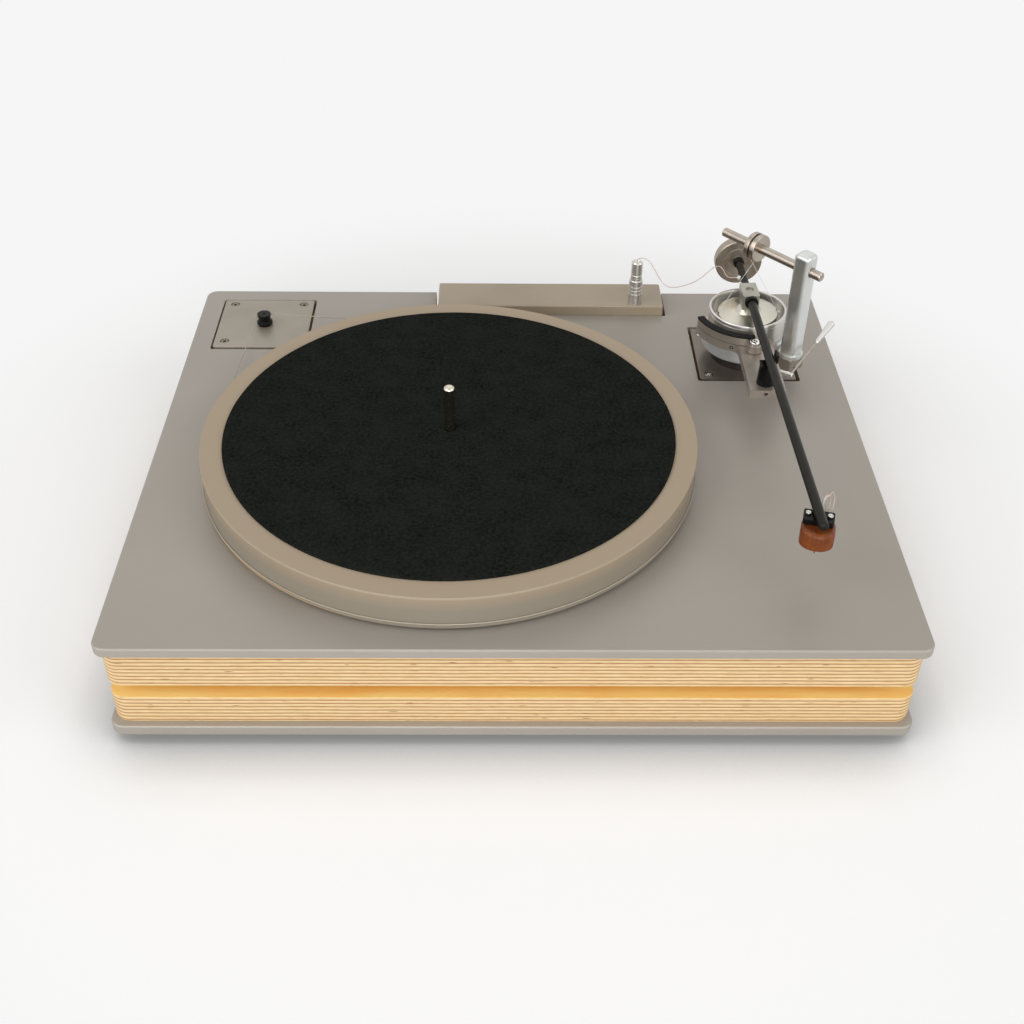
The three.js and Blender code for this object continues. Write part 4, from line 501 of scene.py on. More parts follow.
@dataclass(frozen=True)
class FiguredWood(Finish):
    """Oiled hardwood with dark growth lines that wander along the grain."""

    line_mm: float = 2.6
    line: str = "#5A2A12"
    wander: float = 6.0

    def dress(self, site: Site) -> None:
        """Run the growth lines along the grain over the blotched ground colour.

        Args:
            site: The material in the making.
        """
        tree = site.tree
        along = add_node(tree, "Mapping", {"Vector": site.place, "Scale": self.stretch})
        waves = add_node(
            tree,
            "TexWave",
            {
                "Vector": along,
                "Scale": per_metre(self.line_mm) / WAVE_REPEATS,
                "Distortion": self.wander,
                "Detail": 4.0,
                "Detail Scale": 1.4,
            },
        )
        height = waves.outputs["Fac"]
        lines = add_node(tree, "ValToRGB", {0: height}, ((0.1, "#707070"), (0.6, "#000000")))
        veined = {SHARE: lines, FIRST: self.blotches(site), SECOND: linear(self.line)}
        site.link("Base Color", add_node(tree, "Mix", veined, data_type="RGBA").outputs[BLEND])
        self.grain(site)


# Bead-blasted and clear anodised aluminium: matt grey with a slow drift of tone.
ANODISED_PLATE = Finish(
    "clear anodised aluminium", "plate", "#ADA69D", "#A49D93", 0.5, 0.25,
    blotch_mm=160, grain_mm=0.5, grain_depth_mm=0.004,
)
# The same sheet brushed crossways before anodising, so that fine lines run along X.
BRUSHED_INSET = Finish(
    "brushed aluminium", "inset_plate", "#A89F91", "#9B9284", 0.42, 0.4,
    blotch_mm=50, grain_mm=0.5, grain_depth_mm=0.006, stretch=(0.06, 1.0, 1.0),
)
# Extruded bar with a fine mill grain, warmer than the plate.
TERMINAL_BAR = Finish(
    "warm anodised aluminium bar", "terminal", "#AC9D88", "#A0927D", 0.4, 0.2,
    blotch_mm=60, grain_mm=0.4, grain_depth_mm=0.005, stretch=(0.08, 1.0, 1.0),
)
# Oiled birch plywood, sanded on its sawn edge: cream and brown stripes with a satin touch.
UPPER_PLYWOOD = PlywoodEdge(
    "birch plywood edge, upper board", "plywood", "#ECD3A3", "#E0BF8C", 0.6,
    grain_depth_mm=0.05, top_mm=73.1,
)
# The same board once more, with its plies counted from its own top face.
LOWER_PLYWOOD = PlywoodEdge(
    "birch plywood edge, lower board", "plywood", "#ECD3A3", "#E0BF8C", 0.6,
    grain_depth_mm=0.05, top_mm=36.3,
)
# Peeled birch veneer: a warm yellow that lights the gap between the boards.
SPACER_BIRCH = Finish(
    "birch veneer", "pale_wood", "#FFDC8F", "#FBCC76", 0.55,
    blotch_mm=30, grain_mm=1.2, grain_depth_mm=0.02, stretch=(0.1, 1.0, 1.0),
)
# Moulded natural rubber: matt black with a faint dusty bloom.
MOULDED_RUBBER = Finish(
    "moulded black rubber", "rubber", "#121212", "#1A1918", 0.72,
    blotch_mm=9, grain_mm=0.5, grain_depth_mm=0.01, specular=0.2,
)
# Cast acrylic sanded to a frost: a beige body with painted shade on its side, a painted highlight
# on its rim and a painted warm glow low on its left.
FROSTED_PLATTER = FrostedAcrylic(
    "sanded cast acrylic", "acrylic", "#B2A089", "#A08F79", 0.52,
    grain_mm=0.5, grain_depth_mm=0.003, low_mm=81.8, high_mm=105.8, specular=0.3,
)
# Split leather brushed to a nap: a black that swallows the light, with lighter tufts.
BLACK_SUEDE = Suede(
    "black split suede", "suede", "#0A0C0A", "#1E201D", 0.95,
    blotch_mm=16, grain_mm=0.9, grain_depth_mm=0.12, roughness_spread=0.04, specular=0.03,
)
# Stainless steel fresh from the lathe: pale grey, with highlights fanned across its rings.
TURNED_STEEL = TurnedMetal(
    "turned stainless steel", "steel", "#D6D4CF", "#C9C6C0", 0.33, 1.0,
    grain_depth_mm=0.002, blotch_mm=18,
)
# Stainless steel buffed on a wheel: small screws that glint.
POLISHED_STEEL = Finish(
    "polished stainless steel", "steel", "#CFCCC6", "#C2BEB7", 0.16, 1.0,
    grain_depth_mm=0.001, roughness_spread=0.04, blotch_mm=12,
)
# The spindle is a warmer steel that mirrors the dark mat round it, so only its top shines.
TURNED_SPINDLE = TurnedMetal(
    "turned spindle steel", "steel", "#D8CFBB", "#C6BDA8", 0.15, 1.0,
    grain_depth_mm=0.0001, blotch_mm=14, anisotropy=0.0, roughness_spread=0.01,
)
# Countersunk screws blackened a little by their oil, so that they stand back from the plates.
OILED_SCREW = Finish(
    "oiled steel screw", "steel", "#8E877D", "#7C756B", 0.3, 0.85,
    grain_depth_mm=0.001, roughness_spread=0.04, blotch_mm=4,
)
# Ground and lacquered base plate under the arm, a mid warm grey with a soft sheen.
DARK_GROUND_PLATE = Finish(
    "ground dark steel plate", "dark_steel", "#7D746A", "#6D655C", 0.34, 0.5,
    blotch_mm=30, grain_mm=0.5, grain_depth_mm=0.001, roughness_spread=0.03,
)
# Dark anodising over turning marks: near black, with thin rings of light.
TURNED_DARK = TurnedMetal(
    "turned dark anodised aluminium", "dark_steel", "#4C4844", "#3B3835", 0.32, 0.9,
    grain_depth_mm=0.002, blotch_mm=14,
)
# Bare turned aluminium: warmer and softer than the steel cup that it hangs in.
TURNED_ALUMINIUM = TurnedMetal(
    "turned aluminium", "aluminium", "#D2CEC0", "#C3BFB1", 0.34, 1.0,
    grain_depth_mm=0.001, blotch_mm=16, roughness_spread=0.05,
)
# Bead blasting before anodising takes the shine off the collar and leaves a cool grey.
BLASTED_COLLAR = TurnedMetal(
    "bead-blasted aluminium", "aluminium", "#D0D3D4", "#C3C6C8", 0.42, 0.9,
    grain_depth_mm=0.004, blotch_mm=20, anisotropy=0.25,
)
# Milled, then tumbled until its edges are soft: a dull warm grey block.
MILLED_ALUMINIUM = Finish(
    "milled and tumbled aluminium", "aluminium", "#AFACA0", "#9E9B90", 0.38, 0.8,
    blotch_mm=11, grain_mm=0.4, grain_depth_mm=0.003,
)
# The lift's bracket and platform are cast and painted with a warm clear lacquer.
LACQUERED_CASTING = Finish(
    "lacquered cast aluminium", "aluminium", "#A89F95", "#978E85", 0.36, 0.7,
    blotch_mm=14, grain_mm=0.5, grain_depth_mm=0.003,
)
# Square bar drawn through a die: its rounded edges hold long bright lines.
DRAWN_BAR = Finish(
    "drawn aluminium bar", "aluminium", "#D6D8D5", "#C9CBC8", 0.32, 0.9,
    blotch_mm=30, grain_mm=0.4, grain_depth_mm=0.0008, roughness_spread=0.02,
    stretch=(1.0, 1.0, 0.08),
)
# Steel polished and warmly tinted by its lacquer: brownish, with one bright line along it.
BRONZED_STEEL = TurnedMetal(
    "warm polished steel rod", "bronze_steel", "#B3A99E", "#A2988D", 0.3, 1.0,
    grain_depth_mm=0.002, blotch_mm=14, anisotropy=0.5,
)
# Turned brass: a deep yellow with rings of light.
BRASS = TurnedMetal(
    "turned brass", "brass", "#C9A65A", "#B58F45", 0.28, 1.0, grain_depth_mm=0.002, blotch_mm=8
)
# Thin gilding over brass, for pins too small to show their turning marks.
BRASS_PIN = Finish(
    "gilt connector pin", "brass", "#D3AE5E", "#C29A4B", 0.22, 1.0, blotch_mm=2, grain_mm=0.3
)
# Polished chrome plate: a near mirror, black and white in turn.
CHROME = TurnedMetal(
    "polished chrome plate", "chrome", "#DAD9D5", "#CFCDC8", 0.12, 1.0,
    grain_depth_mm=0.001, blotch_mm=16, anisotropy=0.75, roughness_spread=0.03,
)
# The counterweight's faces keep their turning marks, which stretch each highlight across them.
TURNED_WEIGHT = TurnedMetal(
    "turned nickel silver weight", "chrome", "#A89D90", "#978B7E", 0.34, 1.0,
    grain_depth_mm=0.002, blotch_mm=16, anisotropy=0.8, roughness_spread=0.04,
)
# Acetal turned and buffed: deep black with a tight highlight.
BLACK_ACETAL = Finish(
    "buffed black acetal", "black_plastic", "#0B0B0B", "#131312", 0.26,
    blotch_mm=7, grain_mm=0.4, grain_depth_mm=0.003, specular=0.13,
)
# Tube anodised black: a brownish black with a soft stripe of light along it.
BLACK_TUBE = Finish(
    "black anodised tube", "black_tube", "#191712", "#221F18", 0.36,
    blotch_mm=10, grain_mm=0.5, grain_depth_mm=0.004, stretch=(1.0, 0.1, 1.0), specular=0.16,
)
# Clear polyurethane belt, which takes on the greys that it lies against.
CLEAR_BELT = Finish(
    "clear polyurethane belt", "belt", "#BDB4A6", "#B2A99A", 0.35,
    blotch_mm=40, grain_mm=0.6, grain_depth_mm=0.002, specular=0.3,
)
# Rosewood turned smooth and oiled: orange brown, with darker growth lines.
ROSEWOOD = FiguredWood(
    "oiled rosewood", "rosewood", "#874518", "#63300F", 0.4,
    blotch_mm=6, grain_mm=0.5, grain_depth_mm=0.01, stretch=(1.0, 0.25, 0.25), specular=0.3,
)
# Natural nylon: a slightly waxy white for beads, threads and the sleeve.
NYLON = Finish(
    "white nylon", "nylon", "#EDEDE8", "#DEDED8", 0.45,
    blotch_mm=3, grain_mm=0.3, grain_depth_mm=0.002,
)
# Stranded wire under clear enamel: a thin pale pink line.
ENAMELLED_WIRE = Finish(
    "pink enamelled litz wire", "wire", "#DCC4BA", "#CBAFA5", 0.42,
    blotch_mm=3, grain_mm=0.4, grain_depth_mm=0.01,
)


def attach(piece: Piece, body: Body, finish: Finish, replaces: str | None = None) -> None:
    """Put a new piece in the scene, parent it to the body it rides on and hide the CAD node it
    stands for.

    Args:
        piece: The new object.
        body: The body it moves with.
        finish: Its surface finish.
        replaces: The CAD node it stands for, if any.
    """
    piece.data.materials.append(finish.material())
    bpy.context.scene.collection.objects.link(piece)
    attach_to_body(piece, body.value)
    if replaces:
        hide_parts(replaces)
    LOG.info("%s rides on %s", piece.name, body.value)


class Shape:
    """A mesh in the making, in millimetres, that ends as one finished piece."""

    def __init__(self) -> None:
        """Start with nothing."""
        self.mesh = bmesh.new()

    @classmethod
    def spun(cls, profile: Profile, segments: int = 96, ring: bool = False) -> "Shape":
        """Turn a profile of radius and height once round Z.

        Args:
            profile: The points of the outline.
            segments: How many steps the turn has.
            ring: Whether the profile closes on itself, instead of on the axis.

        Returns:
            The closed shape.
        """
        shape = cls()
        points = [shape.mesh.verts.new((radius, 0.0, height)) for radius, height in profile]
        edges = [shape.mesh.edges.new(pair) for pair in zip(points, points[1:])]
        if ring:
            edges.append(shape.mesh.edges.new((points[-1], points[0])))
        bmesh.ops.spin(
            shape.mesh,
            geom=points + edges,
            axis=(0, 0, 1),
            cent=(0, 0, 0),
            angle=math.tau,
            steps=segments,
            use_merge=True,
        )
        bmesh.ops.remove_doubles(shape.mesh, verts=shape.mesh.verts, dist=0.0005)
        bmesh.ops.recalc_face_normals(shape.mesh, faces=shape.mesh.faces)
        return shape

    @classmethod
    def node(cls, name: str) -> "Shape":
        """Copy a CAD node's mesh, merged into one clean surface.

        Args:
            name: The node's name.

        Returns:
            The copy, in millimetres, with flat facets joined up.
        """
        shape = cls()
        mesh = shape.mesh
        mesh.from_mesh(bpy.data.objects[name].data)
        bmesh.ops.scale(mesh, vec=(MM_PER_M,) * 3, verts=mesh.verts)
        bmesh.ops.remove_doubles(mesh, verts=mesh.verts, dist=0.002)
        bmesh.ops.dissolve_limit(
            mesh, angle_limit=math.radians(0.6), verts=mesh.verts, edges=mesh.edges
        )
        return shape

    def eased(self, width: float, steps: int = 2) -> "Shape":
        """Round every edge that is sharper than 35 degrees.

        Args:
            width: How far the rounding reaches.
            steps: How many facets it has.

        Returns:
            The same shape.
        """
        limit = math.radians(35)
        sharp = [
            edge
            for edge in self.mesh.edges
            if edge.is_manifold and edge.calc_face_angle(0.0) > limit
        ]
        bmesh.ops.bevel(
            self.mesh,
            geom=sharp,
            offset=width,
            segments=steps,
            profile=0.5,
            affect="EDGES",
            material=-1,
            clamp_overlap=True,
        )
        return self

    def wrap(self, axis: Matrix) -> None:
        """Lay a UV map round an axis, so that its U runs with the turning marks.

        Args:
            axis: The place whose Z axis the piece was turned about.
        """
        layer = self.mesh.loops.layers.uv.new(TURNING)
        inverse = axis.inverted()
        for face in self.mesh.faces:
            middle = inverse @ face.calc_center_median()
            base = math.atan2(middle.y, middle.x)
            for loop in face.loops:
                local = inverse @ loop.vert.co
                radius = math.hypot(local.x, local.y)
                angle = math.atan2(local.y, local.x) if radius > 0.001 else base
                angle += math.tau * round((base - angle) / math.tau)
                loop[layer].uv = (angle / math.tau, (radius + local.z) / MM_PER_M)

    def finished(
        self,
        name: str,
        body: Body,
        finish: Finish,
        replaces: str | None = None,
        place: Matrix = Facing.UP.value,
        axis: Matrix = Facing.UP.value,
    ) -> Piece:
        """Turn the shape into a scene piece in metres that rides on a body.

        Args:
            name: The piece's name.
            body: The body it moves with.
            finish: Its surface finish.
            replaces: The CAD node it stands for, if any.
            place: Where the shape goes.
            axis: The place whose Z axis it was turned about, before it is moved there.

        Returns:
            The new object.
        """
        mesh = self.mesh
        if isinstance(finish, TurnedMetal):
            self.wrap(axis)
        bmesh.ops.transform(mesh, matrix=place, verts=mesh.verts)
        bmesh.ops.scale(mesh, vec=(1 / MM_PER_M,) * 3, verts=mesh.verts)
        sharp = math.radians(40)
        for face in mesh.faces:
            face.smooth = True
        for edge in mesh.edges:
            edge.smooth = edge.is_manifold and edge.calc_face_angle(0.0) < sharp
        data = bpy.data.meshes.new(name)
        mesh.to_mesh(data)
        mesh.free()
        piece = bpy.data.objects.new(name, data)
        piece.modifiers.new("even shading", "WEIGHTED_NORMAL").keep_sharp = True
        attach(piece, body, finish, replaces)
        return piece


def dress_node(
    node: str,
    body: Body,
    finish: Finish,
    ease: float = 0.0,
    axis: Matrix = Facing.UP.value,
    steps: int = 2,
) -> Piece:
    """Stand a cleaned and edge-rounded copy in for a CAD node.

    Args:
        node: The node's name.
        body: The body it moves with.
        finish: Its surface finish.
        ease: How far its sharp edges are rounded, in millimetres.
        axis: The place whose Z axis it was turned about, if it was turned.
        steps: How many facets the rounding has.

    Returns:
        The new piece.
    """
    shape = Shape.node(node)
    if ease:
        shape.eased(ease, steps)
    return shape.finished(f"{node}_dressed", body, finish, node, axis=axis)


def recoat(node: str, finish: Finish) -> None:
    """Give a CAD node that stays in the scene a finish of its own.

    Args:
        node: The node's name.
        finish: Its surface finish.
    """
    materials = bpy.data.objects[node].data.materials
    materials.clear()
    materials.append(finish.material())


def dome(radius: float, top: float, height: float, step_deg: int) -> list[tuple[float, float]]:
    """Return the profile of a rounded end, from its foot to just short of its top.

    Args:
        radius: The radius at its foot.
        top: Where it ends on the axis.
        height: How high the rounding is.
        step_deg: The angle between two of its points.

    Returns:
        Its points.
    """
    angles = (math.radians(degrees) for degrees in range(0, 90, step_deg))
    return [(radius * math.cos(a), top - height + height * math.sin(a)) for a in angles]


def smooth_line(points: Sequence[Vector], steps: int) -> list[Vector]:
    """Run a smooth line through points, with steps places from each to the next.

    Args:
        points: The points the line passes through.
        steps: The number of places per stretch.

    Returns:
        The line's places, the ends included.
    """
    line: list[Vector] = []
    for i, (start, end) in enumerate(zip(points, points[1:])):
        before = points[max(i - 1, 0)]
        after = points[min(i + 2, len(points) - 1)]
        square = 2 * before - 5 * start + 4 * end - after
        cube = 3 * start - before - 3 * end + after
        for step in range(steps):
            t = step / steps
            line.append(0.5 * (2 * start + (end - before) * t + square * t**2 + cube * t**3))
    line.append(points[-1].copy())
    return line


def line_length(line: Sequence[Vector]) -> float:
    """Return the length of a line of places."""
    return sum((b - a).length for a, b in zip(line, line[1:]))


def wire_along(
    name: str,
    line: Sequence[Vector],
    radius: float,
    body: Body,
    finish: Finish,
    replaces: str | None = None,
) -> Piece:
    """Draw a round wire along a line as a bevelled curve.

    Args:
        name: The object's name.
        line: The places it follows, in metres.
        radius: The wire's radius in millimetres.
        body: The body it moves with.
        finish: Its surface finish.
        replaces: The CAD node it stands for, if any.

    Returns:
        The curve object.
    """
    curve = bpy.data.curves.new(name, "CURVE")
    curve.dimensions = "3D"
    curve.bevel_depth = radius / MM_PER_M
    curve.bevel_resolution = 3
    curve.use_fill_caps = True
    spline = curve.splines.new("POLY")
    spline.points.add(len(line) - 1)
    for point, place in zip(spline.points, line):
        point.co = (*place, 1.0)
    wire = bpy.data.objects.new(name, curve)
    attach(wire, body, finish, replaces)
    return wire


@dataclass
class ArmWire:
    """The free arm wire from the connector to the tube, a bundle of fine leads."""

    radius: float = 0.3
    route: tuple[Point, ...] = (
        (96.6, 172, 43.9), (97.2, 171.8, 46), (99.4, 171.2, 47.2), (103, 170, 46.8),
        (106.3, 168.4, 44.4), (109.6, 166.9, 39.6), (113.4, 165.1, 33.6), (117, 163.5, 29.4),
        (120.6, 161.9, 27.8), (124.2, 160.1, 28.3), (128, 158.2, 30), (133, 155.6, 33),
        (138, 152.9, 37), (142.8, 150.2, 42.2), (146.7, 148, 47.9), (149.9, 146, 52.7),
        (152.5, 144.6, 55), (155.1, 143.3, 55.3), (157.5, 142.1, 53), (159.1, 141.4, 50.2),
        (161.2, 140.5, 48.4), (163.8, 139.2, 48.6), (166.3, 138.1, 49.4), (168.8, 137.3, 49.8),
    )

    def build(self) -> None:
        line = smooth_line([deck(*point).to_translation() / MM_PER_M for point in self.route], 6)
        wire = wire_along(
            "arm_wire_bundle", line, self.radius, Body.PLINTH, ENAMELLED_WIRE, "arm_wire"
        )
        LOG.info("arm_wire_bundle: %.1f mm long", line_length(line) * MM_PER_M)


@dataclass
class Plinth:
    """Two metal plates with two plywood boards between them, on rubber feet."""

    foot_radius: float = 19.0
    foot_height: float = 8.0
    foot_across: float = 192.5
    foot_along: float = 153.0

    def build(self) -> None:
        """Make the feet and dress the plates and boards."""
        for row, y in (("front", -self.foot_along), ("back", self.foot_along)):
            for side, x in (("left", -self.foot_across), ("right", self.foot_across)):
                node, place = f"foot_{row}_{side}", shifted(x, y, 0)
                self.foot().finished(f"{node}_moulded", Body.PLINTH, MOULDED_RUBBER, node, place)
        dress_node("bottom_plate", Body.PLINTH, ANODISED_PLATE, 0.2)
        dress_node("lower_board", Body.PLINTH, LOWER_PLYWOOD, 0.6)
        dress_node("board_spacer", Body.PLINTH, SPACER_BIRCH, 0.3)
        dress_node("upper_board", Body.PLINTH, UPPER_PLYWOOD, 0.6)
        dress_node("top_plate", Body.PLINTH, ANODISED_PLATE, 0.2)

    def foot(self) -> Shape:
        """Turn one foot, with the recess of its screw below and a grip groove round it."""
        radius, height = self.foot_radius, self.foot_height
        profile = [
            (0, 3), (7, 3), (7, 0), (radius - 2.4, 0), (radius - 0.6, 1.6),
            (radius - 0.2, 2.8), (radius - 0.9, 3.2), (radius - 0.9, 3.8), (radius - 0.1, 4.2),
            (radius, 5.6), (radius, height), (0, height),
        ]
        return Shape.spun(profile, 64).eased(0.25)


@dataclass
class PlatterSet:
    """The acrylic platter, its suede mat, the spindle and the bearing below."""

    radius: float = 161.8
    lift: float = 1.7
    thickness: float = 24.0
    clearance: float = 0.3
    hub_radius: float = 20.0
    hub_top: float = 6.7
    mat_radius: float = 147.5
    mat_thickness: float = 1.8
    mat_sag: float = 0.06
    mat_ripple: float = 0.03
    spindle_radius: float = 3.6
    spindle_top: float = 60.5
    journal_radius: float = 6.0
    journal_bottom: float = -36.3

    def build(self) -> None:
        """Make the platter, mat and spindle and dress the bearing's housing."""
        centre = deck(*PLATTER_CENTRE)
        self.disc().finished("platter_disc", Body.PLATTER, FROSTED_PLATTER, "platter", centre)
        self.mat().finished("suede_mat", Body.PLATTER, BLACK_SUEDE, "platter_mat", centre)
        self.spindle().finished("spindle_shaft", Body.PLATTER, TURNED_SPINDLE, "spindle", centre)
        dress_node("bearing_housing", Body.PLINTH, BRASS, 0.3, centre)

    @property
    def top(self) -> float:
        """Return the height of the platter's upper face."""
        return self.lift + self.thickness

    @property
    def hole(self) -> float:
        """Return the radius of the hole that the spindle passes through."""
        return self.spindle_radius + self.clearance

    def disc(self) -> Shape:
        """Turn the platter with its chamfered lower edge and the hub's recess below."""
        recess = self.hub_radius + self.clearance
        profile = [
            (recess, self.lift), (self.radius - 0.8, self.lift), (self.radius, self.lift + 0.8),
            (self.radius, self.top - 0.3), (self.radius - 0.3, self.top), (self.hole, self.top),
            (self.hole, self.hub_top), (recess, self.hub_top),
        ]
        return Shape.spun(profile, 256, ring=True).eased(0.12)

    def mat(self) -> Shape:
        """Turn the mat with a soft cut edge and a surface that is not quite flat."""
        bottom, top = self.top, self.top + self.mat_thickness
        width = self.mat_radius - 0.6 - self.hole
        rings = [(self.hole + width * i / 24, top) for i in range(25)]
        profile = [
            (self.hole, bottom), (self.mat_radius - 0.1, bottom), (self.mat_radius, top - 0.5),
        ]
        mat = Shape.spun(profile + rings[::-1], 256, ring=True)
        for vert in mat.mesh.verts:
            x, y, z = vert.co
            if z > bottom + 0.1:
                wave = math.sin(x * 0.11 + 1.3) * math.sin(y * 0.13) + math.sin(x * 0.31 - y * 0.27)
                vert.co.z = z - self.mat_sag - self.mat_ripple * wave
        return mat

    def spindle(self) -> Shape:
        """Turn the spindle with its hub and journal, a rounded nose and a lathe centre."""
        radius, top, journal = self.spindle_radius, self.spindle_top, self.journal_radius
        low, nose = self.journal_bottom, dome(self.spindle_radius, self.spindle_top, 2.4, 9)
        profile = [
            (0, low), (journal - 1, low), (journal, low + 1), (journal, self.lift),
            (self.hub_radius, self.lift), (self.hub_radius, self.hub_top),
            (radius, self.hub_top), *nose, (0.35, top), (0, top - 0.3),
        ]
        return Shape.spun(profile, 64)


@dataclass
class MotorUnit:
    """The inset motor plate with its screws, the motor below and the pulley above."""

    shaft_radius: float = 2.0
    shaft_bottom: float = -13.0
    flange_radius: float = 6.0
    pulley_bottom: float = 1.0
    pulley_top: float = 9.0

    def build(self) -> None:
        """Turn the pulley and dress the plate, screws, motor and belt."""
        centre = deck(*MOTOR_CENTRE)
        dress_node("motor_plate", Body.PLINTH, BRUSHED_INSET, 0.25)
        for number in range(1, 5):
            dress_node(f"motor_screw_{number}", Body.PLINTH, OILED_SCREW, 0.15)
        dress_node("motor_body", Body.PLINTH, TURNED_DARK, 0.3, centre)
        self.pulley().finished("pulley_turned", Body.PULLEY, BLACK_ACETAL, "motor_pulley", centre)
        recoat("drive_belt", CLEAR_BELT)

    def pulley(self) -> Shape:
        """Turn the pulley: flange, waist, crowned top and the hole in its middle."""
        low, high = self.pulley_bottom, self.pulley_top
        shaft, flange = self.shaft_radius, self.flange_radius
        profile = [
            (0, self.shaft_bottom), (shaft, self.shaft_bottom), (shaft, low), (flange, low),
            (flange, low + 1.6), (4.6, low + 2.5), (4.6, high - 2.3), (5.15, high - 1.4),
            (5.15, high), (1, high), (1, high - 0.6), (0, high - 0.6),
        ]
        return Shape.spun(profile, 72).eased(0.18)


@dataclass
class Terminals:
    """The terminal block at the back, its jacks, and the arm wire's connector."""

    connector: Point = (96.6, 172.0, 8.3)
    jacks: tuple[tuple[str, Finish, float], ...] = (
        ("phono_socket_left", BRASS, 91.1),
        ("phono_socket_right", BRASS, 72.1),
        ("power_inlet", BLACK_ACETAL, -30.9),
    )
    jack_back: float = 201.0
    jack_height: float = -10.0
    socket_radius: float = 5.2
    neck_radius: float = 4.5
    plug_radius: float = 4.35
    plug_bottom: float = 22.5
    plug_top: float = 35.7

    def build(self) -> None:
        """Dress the block and jacks and turn the connector's two halves."""
        dress_node("terminal_block", Body.PLINTH, TERMINAL_BAR, 0.25)
        for node, finish, x in self.jacks:
            axis = deck(x, self.jack_back, self.jack_height) @ Facing.BACK.value
            dress_node(node, Body.PLINTH, finish, 0.25, axis)
        place = deck(*self.connector)
        for shape, node in ((self.socket(), "wire_socket"), (self.plug(), "wire_plug")):
            shape.finished(f"{node}_turned", Body.PLINTH, TURNED_STEEL, node, place)

    def socket(self) -> Shape:
        """Turn the socket's body with its three grip grooves and the neck above."""
        radius, neck, top = self.socket_radius, self.neck_radius, self.plug_bottom
        grooves: list[tuple[float, float]] = []
        for start in (9.0, 12.0, 15.0):
            floor = radius - 0.4
            grooves += [(radius, start), (floor, start + 0.1)]
            grooves += [(floor, start + 0.6), (radius, start + 0.7)]
        profile = [
            (0, 0), (radius, 0), *grooves, (radius, top - 2.4), (radius - 0.3, top - 2),
            (neck, top - 2), (neck, top), (0, top),
        ]
        return Shape.spun(profile, 64).eased(0.12)

    def plug(self) -> Shape:
        """Turn the plug's sleeve with a fine line near its foot and a dished outlet."""
        radius, low, top = self.plug_radius, self.plug_bottom, self.plug_top
        profile = [
            (0, low), (radius, low), (radius, 24.6), (4.1, 24.8), (4.1, 25.3), (radius, 25.5),
            (radius, top - 1), (radius - 1, top), (2.4, top), (2.0, 34.9), (1.2, 34.5), (0, 34.5),
        ]
        return Shape.spun(profile, 64).eased(0.15)


